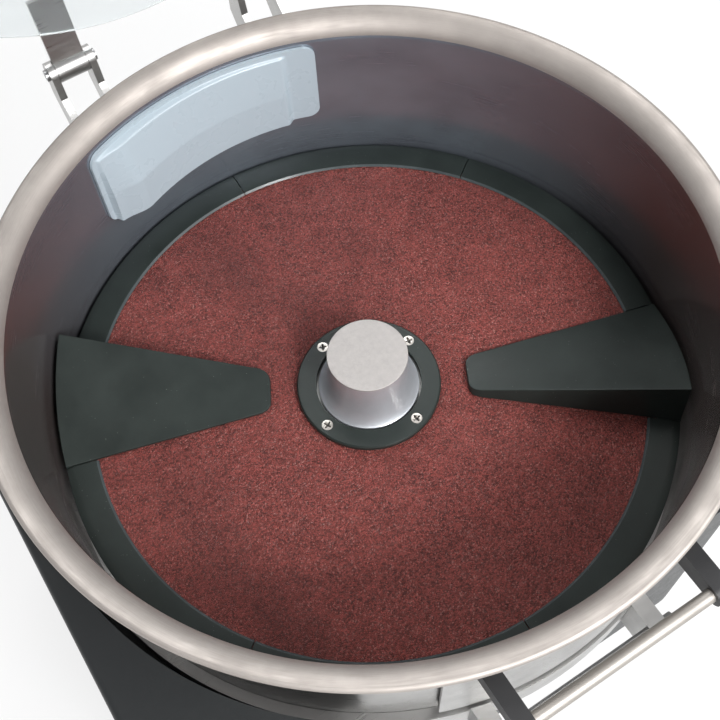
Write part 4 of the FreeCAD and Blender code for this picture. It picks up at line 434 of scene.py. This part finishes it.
def rubber_finish(name, colour):
    """Moulded rubber, dull with a chalky bloom in places."""
    f = Finish(name, colour, 0.0, 0.8)
    bloom = f.noise(60.0, 5.0, 0.65)
    skin = f.noise(700.0, 3.0)
    f.colour(f.mix(f.spread(bloom, 0.0, 1.0, 0.45, 0.8), colour, (0.075, 0.073, 0.07)))
    f.rough(f.spread(bloom, 0.7, 0.92))
    f.relief(skin, 0.2, 0.0004)
    return f.material


def length_property(label, text, default):
    return bpy.props.FloatProperty(name=label, description=text, default=default, unit="LENGTH")


def colour_property(label, text, default):
    return bpy.props.FloatVectorProperty(
        name=label, description=text, default=default, size=3, min=0.0, max=1.0, subtype="COLOR"
    )


class PeelerSizes(bpy.types.PropertyGroup):
    """Sizes that a user may change. The frame gives every other one."""

    wall: length_property("Drum wall", "Thickness of the drum's sheet", 0.0015)
    bead: length_property("Rim bead", "Radius of the bead rolled along the drum's rim", 0.0024)
    flare: length_property("Flare", "Radius of the quarter round below the rim", 0.017)
    grain: length_property("Grain spacing", "Distance between the grains of the abrasive", 0.0013)
    grain_height: length_property("Grain height", "How far the grains stand out", 0.0007)
    steps: bpy.props.IntProperty(
        name="Steps round", description="Steps in a full turn of the drum", default=288, min=24
    )


class PeelerColours(bpy.types.PropertyGroup):
    """Colours of the main finishes."""

    steel: colour_property("Drum steel", "Polished sheet of the drum", (0.295, 0.335, 0.385))
    rim: colour_property("Rim steel", "Satin flare and bead", (0.46, 0.42, 0.39))
    stain: colour_property("Stain", "Smears on the drum's sheet", (0.19, 0.20, 0.235))
    # A painted shade and reflection: the dark brownish colour laid on the drum's front and sides.
    film: colour_property("Film", "Brownish film on the drum's front and sides", (0.156, 0.127, 0.121))
    coat: colour_property("Disc coat", "Clamp ring, ramps and hub flange", (0.0225, 0.0285, 0.0262))
    grit_dark: colour_property("Grit, dark", "Dark grains of the abrasive", (0.078, 0.0125, 0.0100))
    grit_light: colour_property("Grit, light", "Light grains of the abrasive", (0.385, 0.084, 0.069))
    # The glint colour is a painted highlight on a few grains.
    grit_spark: colour_property("Grit, glinting", "Glinting grains of the abrasive", (0.50, 0.235, 0.205))
    cap: colour_property("Hub cap", "Matt cap of the hub", (0.48, 0.455, 0.44))
    hub: colour_property("Hub skirt", "Flared skirt of the hub", (0.80, 0.83, 0.88))
    deflector: colour_property("Deflector", "Milky plastic of the water deflector", (0.372, 0.438, 0.484))
    housing: colour_property("Housing", "Paint of the base and the control housing", (0.018, 0.020, 0.021))


def sizes():
    return bpy.context.scene.peeler_sizes


def colours():
    return bpy.context.scene.peeler_colours


# Each finish by its name: its maker, its colour, then the maker's other arguments. A word stands for a colour
# that the user may change.
FINISH_TABLE = {
    "drum_steel": (polished_finish, "steel", 0.20, "stain", "film"),
    "rim_steel": (satin_finish, "rim", 0.56, True, 0.8),
    "shell_steel": (satin_finish, (0.48, 0.475, 0.465), 0.28, True),
    "satin_steel": (satin_finish, (0.50, 0.495, 0.485), 0.30),
    "bar_steel": (satin_finish, (0.40, 0.375, 0.345), 0.50, False, 0.75),
    "machine_steel": (satin_finish, (0.36, 0.36, 0.365), 0.33, True),
    "screw_steel": (satin_finish, (0.56, 0.53, 0.49), 0.40),
    "panel_metal": (satin_finish, (0.46, 0.47, 0.48), 0.36),
    "hub_metal": (satin_finish, "hub", 0.36, True, 0.72),
    "cap_metal": (cast_finish, "cap", 0.62, 0.35),
    "cast_aluminium": (cast_finish, (0.42, 0.42, 0.41), 0.5),
    # A near-black finish for the bottoms of the screws' slots, a painted shade.
    "black_iron": (cast_finish, (0.035, 0.035, 0.036), 0.55, 0.4),
    "disc_coat": (coat_finish, "coat", 0.36),
    # A lighter coat for the ring's bevel, a painted highlight.
    "rubbed_coat": (coat_finish, (0.052, 0.062, 0.064), 0.22),
    "grit": (grit_finish, "grit_dark", "grit_light", "grit_spark"),
    "deflector": (deflector_finish, "deflector"),
    "clear_lid": (clear_finish, (0.90, 0.94, 0.95)),
    "housing_paint": (paint_finish, "housing", 0.4),
    "inner_paint": (paint_finish, (0.17, 0.175, 0.175), 0.5),
    "motor_paint": (paint_finish, (0.045, 0.065, 0.08), 0.45),
    "rubber": (rubber_finish, (0.022, 0.022, 0.023)),
    "black_plastic": (plastic_finish, (0.017, 0.017, 0.018), 0.42),
    "mark_dark": (plastic_finish, (0.02, 0.02, 0.022), 0.5),
    "start_green": (plastic_finish, (0.015, 0.22, 0.045), 0.3),
    "stop_red": (plastic_finish, (0.42, 0.012, 0.010), 0.3),
}
FINISHES = {}


def finish(name):
    """Each finish, made once from the table and kept by name."""
    if name not in FINISHES:
        maker, *given = FINISH_TABLE[name]
        given = [tuple(getattr(colours(), item)) if isinstance(item, str) else item for item in given]
        FINISHES[name] = maker(name, *given)
    return FINISHES[name]


# The finish of each CAD node that stays as it is.
NODE_FINISHES = {
    "bar_steel": ("door_handle_bar",),
    "housing_paint": ("base_housing", "control_housing"),
    "inner_paint": ("base_cover", "motor_bracket"),
    "rubber": ("rubber_feet", "shaft_seal", "door_gasket", "drive_belt"),
    "satin_steel": (
        "drum_pan", "waste_outlet", "water_inlet", "lid_brackets", "door_hinge_brackets", "lid_arms",
    ),
    "screw_steel": ("drum_screws", "pulley_bolt", "knob_screw"),
    "machine_steel": (
        "bearing_bolts", "bearing_upper", "bearing_lower", "inlet_nut", "lid_hinge_pins",
        "door_hinge_pin", "drive_shaft", "dog_pin", "motor_shaft",
    ),
    "cast_aluminium": ("bearing_housing", "disc_plate", "driven_pulley", "motor_pulley"),
    "disc_coat": ("hub_flange",),
    "motor_paint": ("motor_body",),
    "black_plastic": (
        "motor_fan_cover", "button_bezels", "switch_blocks", "process_timer", "cable_gland",
        "door_handle_arms", "lid_handle", "timer_knob",
    ),
    "panel_metal": ("control_panel",),
    "start_green": ("start_button",),
    "stop_red": ("stop_button",),
}


def eased(share):
    """A share held between nought and one, with soft ends."""
    share = max(0.0, min(1.0, share))
    return share * share * (3 - 2 * share)


def put(mesh_verts, turn):
    """The corners turned about the drum's axis."""
    c, s = math.cos(turn), math.sin(turn)
    return [(x * c - y * s, x * s + y * c, z) for x, y, z in mesh_verts]


def grid_faces(rows, columns, closed=False):
    """Quads over a grid of rows by columns; a closed grid joins its last column to its first."""
    faces = []
    for row in range(rows - 1):
        for column in range(columns if closed else columns - 1):
            following = (column + 1) % columns
            a, b = row * columns, (row + 1) * columns
            faces.append((a + column, a + following, b + following, b + column))
    return faces


def cut_away(obj, tool):
    """Subtract the tool from the object, then drop the tool."""
    cut = obj.modifiers.new("cut", "BOOLEAN")
    cut.operation = "DIFFERENCE"
    cut.solver = "EXACT"
    cut.object = tool
    apply_modifiers(obj)
    bpy.data.objects.remove(tool)
    return obj


def joined(name, *parts):
    """One object from several, with the materials of the first."""
    whole = bmesh.new()
    for part in parts:
        whole.from_mesh(part.data)
    mesh = bpy.data.meshes.new(name)
    whole.to_mesh(mesh)
    whole.free()
    obj = bpy.data.objects.new(name, mesh)
    bpy.context.scene.collection.objects.link(obj)
    for material in parts[0].data.materials:
        mesh.materials.append(material)
    for part in parts:
        bpy.data.objects.remove(part)
    return obj


class PeelerPiece:
    """What the operators share."""

    bl_options = {"REGISTER", "UNDO"}


class PEELER_OT_cad_finishes(PeelerPiece, bpy.types.Operator):
    """Give each CAD node its finish"""

    bl_idname = "peeler.cad_finishes"
    bl_label = "CAD finishes"

    def execute(self, context):
        for name, nodes in NODE_FINISHES.items():
            dress(finish(name), *nodes)
        return {"FINISHED"}


class PEELER_OT_drum(PeelerPiece, bpy.types.Operator):
    """Build the drum's sheet with its flare, rolled bead, door opening and water hole"""

    bl_idname = "peeler.drum"
    bl_label = "Drum"

    def execute(self, context):
        s = sizes()
        door_low, door_high, door_start, door_span = 0.334, 0.430, 250.0, 40.0
        hole_level, hole_radius, hole_steps = 0.396, 0.0107, 24
        spare = 0.02
        rim_band = 0.004
        rim = DRUM_HIGH.x
        top = DRUM_HIGH.z
        inner = rim - s.flare
        outer = inner + s.wall
        flare_level = top - s.flare
        levels = np.linspace(DRUM_LOW.z, flare_level, 12)
        profile = [(inner, z) for z in levels[:-1]]
        profile += arc_points(rim, flare_level, s.flare, 180, 98, 14)
        bead_x, bead_z = rim - s.bead, top - s.bead
        profile += arc_points(bead_x, bead_z, s.bead, 90, -190, 22)
        profile += arc_points(rim, flare_level, s.flare - s.wall, 108, 180, 10)
        profile += [(outer, z) for z in levels[-2::-1]]
        drum = turned("drum_shell.sheet", profile, finish("drum_steel"), s.steps)
        opening = turned(
            "opening",
            [(inner - spare, door_low), (outer + spare, door_low),
             (outer + spare, door_high), (inner - spare, door_high)],
            None, 24, door_start, door_span,
        )
        cut_away(drum, opening)
        hole = []
        for y in (inner - spare, outer + spare):
            circle = arc_points(0.0, hole_level, hole_radius, 0, 360 - 360 / hole_steps, hole_steps - 1)
            hole += [(x, y, z) for x, z in circle]
        faces = grid_faces(2, hole_steps, closed=True)
        faces += [tuple(range(hole_steps)), tuple(range(2 * hole_steps - 1, hole_steps - 1, -1))]
        cut_away(drum, mesh_object("hole", hole, faces))
        drum.data.materials.append(finish("rim_steel"))
        drum.data.materials.append(finish("shell_steel"))
        for face in drum.data.polygons:
            if face.center.z > flare_level + rim_band:
                face.material_index = 1
            elif face.center.xy.length > inner + s.wall / 2:
                face.material_index = 2
            face.use_smooth = True
        drum.data.set_sharp_from_angle(angle=math.radians(40))
        place(drum, "machine", "polished_steel", "drum_shell")
        return {"FINISHED"}


class PEELER_OT_disc(PeelerPiece, bpy.types.Operator):
    """Build the abrasive sheet, the six clamp segments and the two ramps"""

    bl_idname = "peeler.disc"
    bl_label = "Disc"

    def abrasive(self):
        """Rings of grains, shifted at random, with clumps and a slow swell; the edges stay round."""
        s = sizes()
        inner, outer = 0.0379, SHEET_HIGH.x
        sunk = 0.0010
        swell_scale, swell_height = 14, 0.00015
        clump_scale, clump_share, grain_share = 260, 0.45, 0.55
        rings = int((outer - inner) / s.grain) + 1
        around = int(2 * math.pi * outer / s.grain)
        random = np.random.default_rng(7)
        radii = np.linspace(inner, outer, rings)
        verts = []
        for ring, radius in enumerate(radii):
            edge = ring in (0, rings - 1)
            shift = random.uniform(-0.4, 0.4, (around, 2)) * (0.0 if edge else 1.0)
            grains = random.random(around)
            for step in range(around):
                angle = 2 * math.pi * (step + shift[step, 0]) / around
                r = radius + shift[step, 1] * s.grain
                x, y = r * math.cos(angle), r * math.sin(angle)
                swell = noise.noise(Vector((x * swell_scale, y * swell_scale, 0.3))) * swell_height
                clump = noise.noise(Vector((x * clump_scale, y * clump_scale, 1.7))) * 0.4 + 0.5
                rise = s.grain_height * (grain_share * grains[step] ** 1.5 + clump_share * clump)
                verts.append((x, y, SHEET_HIGH.z - sunk + swell + rise))
        faces = grid_faces(rings, around, closed=True)
        count = len(verts)
        for radius in (outer, inner):
            for step in range(around):
                angle = 2 * math.pi * step / around
                verts.append((radius * math.cos(angle), radius * math.sin(angle), SHEET_LOW.z))
        top_outer = (rings - 1) * around
        for step in range(around):
            following = (step + 1) % around
            faces.append((top_outer + step, top_outer + following, count + following, count + step))
            faces.append((count + step, count + following, count + around + following, count + around + step))
            faces.append((count + around + step, count + around + following, following, step))
        obj = mesh_object("abrasive_sheet.grit", verts, faces, finish("grit"))
        place(obj, "disc", "abrasive", "abrasive_sheet")

    def segment(self, node):
        """A clamp segment over the span of its CAD node, with a painted highlight: a lighter, glossier coat
        on the bevel beside the abrasive.
        """
        low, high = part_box(node)
        middle = math.degrees(math.atan2(low.y + high.y, low.x + high.x))
        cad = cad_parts[node].data.vertices
        turns = [(math.degrees(math.atan2(v.co.y, v.co.x)) - middle + 180) % 360 - 180 for v in cad]
        bottom, seat, top = low.z, SHEET_HIGH.z, high.z
        bevel_end, slope_start, slope_drop, lip = 0.1914, 0.2060, 0.00225, 0.0002
        highlight_low, highlight_reach = seat + 0.0001, 0.1917
        profile = [
            (RING_INNER, seat), (RING_INNER, seat + lip), (bevel_end, top), (slope_start, top),
            (RING_OUTER, top - slope_drop), (RING_OUTER, bottom), (RING_SEAT, bottom), (RING_SEAT, seat),
        ]
        obj = turned(
            node + ".ring", profile, finish("disc_coat"), 72, middle + min(turns), max(turns) - min(turns)
        )
        soften(obj, 0.0004, 3, 25)
        # Painted highlight: the bevel beside the abrasive takes a lighter coat.
        obj.data.materials.append(finish("rubbed_coat"))
        for face in obj.data.polygons:
            face.material_index = int(face.center.z > highlight_low and face.center.xy.length < highlight_reach)
        place(obj, "disc", "disc_metal", node)

    def ramp(self, node, turn):
        """A ramp with its low side ahead. Its crest leans back over the high face."""
        half = math.radians(12.5)
        tip_x, corner_x, corner_y, corner_r = 0.068, 0.077, 0.00785, 0.009
        low_height, tip_height, wall_height, back_lean = 0.002, 0.006, 0.034, 0.2
        base = SHEET_HIGH.z
        columns, rows = 26, 60

        def start(angle):
            """Where the ramp starts in this direction: a straight tip with two round corners."""
            if abs(angle) < math.atan2(corner_y, tip_x):
                return tip_x / math.cos(angle)
            along = corner_x * math.cos(angle) + corner_y * math.sin(abs(angle))
            inside = along ** 2 - corner_x ** 2 - corner_y ** 2 + corner_r ** 2
            return along - math.sqrt(max(inside, 0.0))

        verts = []
        for row in range(rows + 1):
            share = row / rows
            loop = []
            for column in range(columns + 1):
                across = column / columns
                nominal = half - across * 2 * half
                reach = start(nominal) + share * (RING_OUTER - start(nominal))
                height = tip_height + (reach - tip_x) * (wall_height - tip_height) / (RING_OUTER - tip_x)
                lean = back_lean * height / reach
                angle = half - across * (2 * half - lean)
                rise = low_height + (height - low_height) * across
                loop.append((reach * math.cos(angle), reach * math.sin(angle), base + rise))
            for column in range(columns, -1, -1):
                nominal = half - column / columns * 2 * half
                reach = start(nominal) + share * (RING_OUTER - start(nominal))
                loop.append((reach * math.cos(nominal), reach * math.sin(nominal), base))
            verts += loop
        count = 2 * (columns + 1)
        faces = grid_faces(rows + 1, count, closed=True)
        for first in (0, rows * count):
            for column in range(columns):
                a, b = first + column, first + count - 1 - column
                faces.append((a, a + 1, b - 1, b))
        body = mesh_object(node + ".body", put(verts, turn), faces, finish("disc_coat"))
        soften(body, 0.0009, 3, 40)
        low, top = CLAMP_LOW.z, base + 0.001
        foot = turned(
            node + ".foot", [(RING_SEAT, low), (RING_OUTER, low), (RING_OUTER, top), (RING_SEAT, top)],
            finish("disc_coat"), 40, math.degrees(turn - half), math.degrees(2 * half),
        )
        obj = joined(node + ".coated", body, foot)
        obj.data.set_sharp_from_angle(angle=math.radians(50))
        place(obj, "disc", "disc_metal", node)

    def execute(self, context):
        self.abrasive()
        for number in range(1, 7):
            self.segment(f"clamp_segment_{number}")
        self.ramp("ramp_1", DISC_TURN)
        self.ramp("ramp_2", DISC_TURN + math.pi)
        return {"FINISHED"}


class PEELER_OT_hub(PeelerPiece, bpy.types.Operator):
    """Build the hub's flared skirt, its cap and the four cross-head screws"""

    bl_idname = "peeler.hub"
    bl_label = "Hub"

    def screw_head(self, number):
        """A countersunk cross-head screw in its place on the flange."""
        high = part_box("hub_screws")[1].z
        circle, arm, half_slot, slot_depth, length = 0.0428, 0.0027, 0.0006, 0.0022, 0.0100
        profile = [
            (0.0, high), (0.0024, high - 0.00005), (0.0038, high - 0.0002), (0.0041, high - 0.0005),
            (0.0021, high - 0.0026), (0.0020, high - length), (0.0, high - length),
        ]
        head = turned(f"hub_screws.head_{number}", profile, finish("screw_steel"), 40)
        for x, y in ((arm, half_slot), (half_slot, arm)):
            slot = box_mesh("slot", (-x, -y, high - slot_depth), (x, y, high + 0.001), None, 0.0002)
            cut_away(head, slot)
        angle = DISC_TURN + math.radians(45 + 90 * number)
        head.data.transform(Matrix.Rotation(0.4 + 1.3 * number, 4, "Z"))
        head.data.transform(Matrix.Translation((circle * math.cos(angle), circle * math.sin(angle), 0.0)))
        head.data.set_sharp_from_angle(angle=math.radians(35))
        return head

    def execute(self, context):
        low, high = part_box("hub_knob")
        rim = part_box("hub_cap")[1].x
        bore, foot_height, edge, steps = 0.0128, 0.0052, 0.0006, 32
        foot, neck, top = high.x, rim - 0.0012, high.z
        profile = [(bore, low.z), (foot, low.z), (foot, low.z + foot_height)]
        profile += arc_points(foot - edge, low.z + foot_height, edge, 15, 60, 4)
        start_r, start_z = profile[-1]
        for step in range(1, steps + 1):
            left = 1 - step / steps
            flare = 0.35 * left + 0.65 * left ** 6
            profile.append((neck + (start_r - neck) * flare, start_z + (top - start_z) * (1 - left)))
        profile.append((bore, top))
        knob = turned("hub_knob.skirt", profile, finish("hub_metal"), 128)
        knob.data.set_sharp_from_angle(angle=math.radians(50))
        place(knob, "disc", "satin_steel", "hub_knob")
        dish = CAP_HIGH.z - 0.0001
        profile = [(0.0, top), (rim - 0.0008, top)]
        profile += arc_points(rim - edge, CAP_HIGH.z - edge, edge, 0, 90, 6)
        profile += [(rim - 0.0035, dish), (0.0, dish)]
        cap = turned("hub_cap.disc", profile, finish("cap_metal"), 128)
        cap.data.set_sharp_from_angle(angle=math.radians(50))
        place(cap, "disc", "cast_aluminium", "hub_cap")
        heads = joined("hub_screws.heads", *[self.screw_head(number) for number in range(4)])
        heads.data.set_sharp_from_angle(angle=math.radians(35))
        # Painted shade: the bottoms of the cross slots take a near-black finish.
        heads.data.materials.append(finish("black_iron"))
        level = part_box("hub_screws")[1].z
        recess_low, recess_high = level - 0.0024, level - 0.0007
        for face in heads.data.polygons:
            face.material_index = int(recess_low < face.center.z < recess_high and abs(face.normal.z) > 0.9)
        place(heads, "disc", "machine_steel", "hub_screws")
        return {"FINISHED"}


class PEELER_OT_deflector(PeelerPiece, bpy.types.Operator):
    """Build the moulded water deflector at the back of the drum"""

    bl_idname = "peeler.deflector"
    bl_label = "Water deflector"

    def execute(self, context):
        # The flange on the drum's wall: radius, thickness, angles, levels and the rounding of its corners.
        radius, thick, corner = 0.2137, 0.0020, 0.009
        first, last = math.radians(66.8), math.radians(115.5)
        low, high = 0.3675, 0.4375
        # The moulded body: angles and top, and how far in its ends and its ledge reach full depth.
        body_first, body_last, body_high = math.radians(72.2), math.radians(114.4), 0.4340
        first_wall, last_wall, ledge = 0.005, 0.026, 0.002
        # The face leans outwards: over this height below the top it comes from the least share to full depth.
        lean, least = 0.036, 0.4
        # The face is an arc: its centre and radius seen from above.
        face_x, face_y, face_radius = 0.0116, 0.0205, 0.1865
        inside = face_radius ** 2 - face_x ** 2 - face_y ** 2
        across, up = 180, 96
        verts = []
        for layer in (0.0, thick):
            for row in range(up + 1):
                level = low + (high - low) * 0.5 * (1 - math.cos(math.pi * row / up))
                inset = max(corner - (level - low), corner - (high - level), 0.0)
                trim = (corner - math.sqrt(max(corner ** 2 - inset ** 2, 0.0))) / radius
                for column in range(across + 1):
                    angle = first + trim + (last - first - 2 * trim) * column / across
                    dx, dy = math.cos(angle), math.sin(angle)
                    along = face_x * dx + face_y * dy
                    face = along + math.sqrt(along ** 2 + inside)
                    above = body_high - level
                    share = eased((angle - body_first) * radius / first_wall)
                    side = (body_last - angle) * radius
                    end = 0.3 * eased(side / ledge) + 0.7 * eased(side / last_wall)
                    share *= end * eased(above / ledge)
                    share *= least + (1 - least) * min(1.0, max(0.0, above / lean))
                    reach = radius - (radius - face) * share + layer
                    verts.append((reach * dx, reach * dy, level))
        size = (up + 1) * (across + 1)
        faces = grid_faces(up + 1, across + 1)
        faces += [tuple(size + index for index in reversed(face)) for face in faces]
        width = across + 1
        rim = list(range(width)) + [row * width + across for row in range(1, up + 1)]
        rim += [up * width + column for column in range(across - 1, -1, -1)]
        rim += [row * width for row in range(up - 1, 0, -1)]
        for index, corner_index in enumerate(rim):
            following = rim[(index + 1) % len(rim)]
            faces.append((corner_index, size + corner_index, size + following, following))
        obj = mesh_object("water_deflector.moulding", verts, faces, finish("deflector"))
        obj.data.set_sharp_from_angle(angle=math.radians(50))
        place(obj, "machine", "deflector_plastic", "water_deflector")
        return {"FINISHED"}


class PEELER_OT_door(PeelerPiece, bpy.types.Operator):
    """Build the curved door with its plug"""

    bl_idname = "peeler.door"
    bl_label = "Door"

    def execute(self, context):
        sheets = []
        # Inner and outer radius, bottom and top level, start and span in degrees.
        for name, inner, outer, low, high, start, span in (
            ("panel", 0.2200, 0.2230, 0.326, 0.438, 247.9, 44.2),
            ("plug", 0.2160, 0.2203, 0.3355, 0.4285, 250.4, 39.2),
        ):
            profile = [(inner, low), (outer, low), (outer, high), (inner, high)]
            sheet = turned(name, profile, finish("satin_steel"), 48, start, span)
            sheets.append(soften(sheet, 0.0007, 3, 30))
        door = joined("door_panel.sheet", *sheets)
        door.data.set_sharp_from_angle(angle=math.radians(40))
        place(door, "door", "satin_steel", "door_panel")
        return {"FINISHED"}


class PEELER_OT_lid(PeelerPiece, bpy.types.Operator):
    """Build the clear domed lid, standing open on its hinge"""

    bl_idname = "peeler.lid"
    bl_label = "Lid"

    def execute(self, context):
        # Radii of the flat edge and of the dome, the edge's level, the dome's rise and thickness, lid closed.
        edge, rim, flat, rise, thick = 0.237, 0.203, 0.4553, 0.044, 0.003
        roll, steps, open_angle = 0.0014, 40, math.radians(-100)
        pivot = Vector((0.0, 0.254, 0.461))
        profile = [(edge - 0.0012, flat)]
        profile += arc_points(edge - roll, flat + thick / 2, roll, -80, 80, 8)
        outer, inner = [], []
        for step in range(steps + 1):
            share = math.sin(0.5 * math.pi * (1 - step / steps))
            height = max(0.0, 1 - share ** 3) ** (1 / 2.2)
            outer.append((rim * share, flat + thick + rise * height))
            inner.append(((rim - thick) * share, flat + rise * height))
        profile += outer
        profile += list(reversed(inner))
        dome = turned("lid_cover.dome", profile, finish("clear_lid"), 192)
        turn = Matrix.Translation(pivot) @ Matrix.Rotation(open_angle, 4, "X") @ Matrix.Translation(-pivot)
        dome.data.transform(turn)
        dome.data.set_sharp_from_angle(angle=math.radians(50))
        place(dome, "lid", "clear_plastic", "lid_cover")
        return {"FINISHED"}


class PEELER_OT_controls(PeelerPiece, bpy.types.Operator):
    """Add the timer's scale and the marks and screws of the control panel"""

    bl_idname = "peeler.controls"
    bl_label = "Control panel marks"

    def execute(self, context):
        low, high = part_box("control_panel")
        face = low.y
        knob_x, knob_z, radius, count = -0.192, 0.335, 0.0205, 7
        half_tick, half_width, inset = 0.0016, 0.00035, 0.006
        parts = []
        for number in range(count):
            angle = math.radians(225 - 270 * number / (count - 1))
            x = knob_x + radius * math.cos(angle)
            z = knob_z + radius * math.sin(angle)
            tick = box_mesh(
                "tick", (-half_tick, -0.0002, -half_width), (half_tick, 0.0001, half_width), None, 0.00005
            )
            turn = Matrix.Rotation(-angle, 4, "Y")
            tick.data.transform(Matrix.Translation((x, face, z)) @ turn)
            parts.append(tick)
        ticks = joined("control_panel.ticks", *parts)
        ticks.data.materials.append(finish("mark_dark"))
        place(ticks, "machine", "black_plastic")
        screws = []
        outline = [(0.0, 0.0), (0.0016, -0.0001), (0.0026, -0.0004), (0.0027, -0.0012), (0.0, -0.0012)]
        for x in (low.x + inset, high.x - inset):
            for z in (low.z + inset, high.z - inset):
                head = turned("head", outline, finish("screw_steel"), 32)
                slot = box_mesh("slot", (-0.0022, -0.0003, -0.0007), (0.0022, 0.0003, 0.001), None, 0.00008)
                cut_away(head, slot)
                head.data.transform(Matrix.Rotation(0.7 + 9 * x + 23 * z, 4, "Z"))
                head.data.transform(
                    Matrix.Translation((x, face - 0.0011, z)) @ Matrix.Rotation(math.radians(90), 4, "X")
                )
                screws.append(head)
        heads = joined("control_panel.screws", *screws)
        place(heads, "machine", "machine_steel")
        return {"FINISHED"}


class PEELER_OT_stage(PeelerPiece, bpy.types.Operator):
    """Set the floor, the backdrop, the lamps, the world and the camera"""

    bl_idname = "peeler.stage"
    bl_label = "Stage"

    def white_ground(self):
        """The floor's white, which glows for the camera and in mirrors but keeps the machine's shadow."""
        f = Finish("stage_white", (0.82, 0.82, 0.82), 0.0, 0.9)
        paths = f.node("ShaderNodeLightPath")
        seen = f.maths("MAXIMUM", paths.outputs["Is Camera Ray"], paths.outputs["Is Glossy Ray"])
        seen = f.maths("MAXIMUM", seen, paths.outputs["Is Transmission Ray"])
        glow = f.node("ShaderNodeEmission")
        glow.inputs["Color"].default_value = (1.0, 1.0, 1.0, 1.0)
        glow.inputs["Strength"].default_value = 1.0
        mixed = f.node("ShaderNodeMixShader")
        f.join(f.maths("MULTIPLY", seen, 0.75), mixed.inputs[0])
        f.join(f.shader.outputs[0], mixed.inputs[1])
        f.join(glow.outputs[0], mixed.inputs[2])
        f.join(mixed.outputs[0], f.tree.nodes["Material Output"].inputs["Surface"])
        return f.material

    def lamp(self, name, spot, aim, size, power):
        data = bpy.data.lights.new(name, "AREA")
        data.shape = "RECTANGLE"
        data.size, data.size_y = size
        data.energy = power
        obj = bpy.data.objects.new(name, data)
        obj.location = spot
        obj.rotation_euler = (Vector(aim) - Vector(spot)).to_track_quat("-Z", "Y").to_euler()
        bpy.context.scene.collection.objects.link(obj)

    def execute(self, context):
        ground = self.white_ground()
        profile = [(-8.0, 0.0), (5.0, 0.0)] + arc_points(5.0, 1.0, 1.0, -80, 0, 10) + [(6.0, 3.5)]
        verts = [(x, y, z) for y, z in profile for x in (-8.0, 8.0)]
        floor = mesh_object("floor", verts, grid_faces(len(profile), 2), ground)
        world = bpy.data.worlds.new("studio")
        world.use_nodes = True
        bpy.context.scene.world = world
        tree = world.node_tree
        # Grey light for the machine. The camera sees the tone of the far floor, so that no horizon shows.
        studio = tree.nodes["Background"]
        studio.inputs["Color"].default_value = (0.42, 0.42, 0.43, 1.0)
        white = tree.nodes.new("ShaderNodeBackground")
        white.inputs["Color"].default_value = (0.841, 0.841, 0.843, 1.0)
        paths = tree.nodes.new("ShaderNodeLightPath")
        seen = tree.nodes.new("ShaderNodeMixShader")
        tree.links.new(paths.outputs["Is Camera Ray"], seen.inputs[0])
        tree.links.new(studio.outputs[0], seen.inputs[1])
        tree.links.new(white.outputs[0], seen.inputs[2])
        tree.links.new(seen.outputs[0], tree.nodes["World Output"].inputs["Surface"])
        for lamp in LAMPS:
            self.lamp(*lamp)
        data = bpy.data.cameras.new("camera")
        data.lens = LENS
        data.sensor_width = SENSOR
        camera = bpy.data.objects.new("camera", data)
        turn = Matrix((CAMERA_RIGHT, CAMERA_UP, tuple(-v for v in CAMERA_AHEAD))).transposed()
        camera.matrix_world = Matrix.Translation(CAMERA_SPOT) @ turn.to_4x4()
        bpy.context.scene.collection.objects.link(camera)
        bpy.context.scene.camera = camera
        bpy.context.scene.view_settings.view_transform = "Standard"
        return {"FINISHED"}


OPERATORS = (
    PEELER_OT_cad_finishes, PEELER_OT_drum, PEELER_OT_disc, PEELER_OT_hub, PEELER_OT_deflector,
    PEELER_OT_door, PEELER_OT_lid, PEELER_OT_controls, PEELER_OT_stage,
)


class PEELER_PT_panel(bpy.types.Panel):
    """Sizes, colours and steps of the peeling machine"""

    bl_label = "Peeler"
    bl_idname = "PEELER_PT_panel"
    bl_space_type = "VIEW_3D"
    bl_region_type = "UI"
    bl_category = "Peeler"

    def draw(self, context):
        for heading, group in (("Sizes", sizes()), ("Colours", colours())):
            box = self.layout.box()
            box.label(text=heading)
            for key in group.__annotations__:
                box.prop(group, key)
        column = self.layout.column()
        for operator in OPERATORS:
            column.operator(operator.bl_idname, text=operator.bl_label)


CLASSES = (PeelerSizes, PeelerColours, *OPERATORS, PEELER_PT_panel)


def register():
    for item in CLASSES:
        bpy.utils.register_class(item)
    bpy.types.Scene.peeler_sizes = bpy.props.PointerProperty(type=PeelerSizes)
    bpy.types.Scene.peeler_colours = bpy.props.PointerProperty(type=PeelerColours)


def unregister():
    del bpy.types.Scene.peeler_colours
    del bpy.types.Scene.peeler_sizes
    for item in reversed(CLASSES):
        bpy.utils.unregister_class(item)


def main():
    register()
    for operator in OPERATORS:
        group, name = operator.bl_idname.split(".")
        getattr(getattr(bpy.ops, group), name)()


if __name__ == "__main__":
    main()
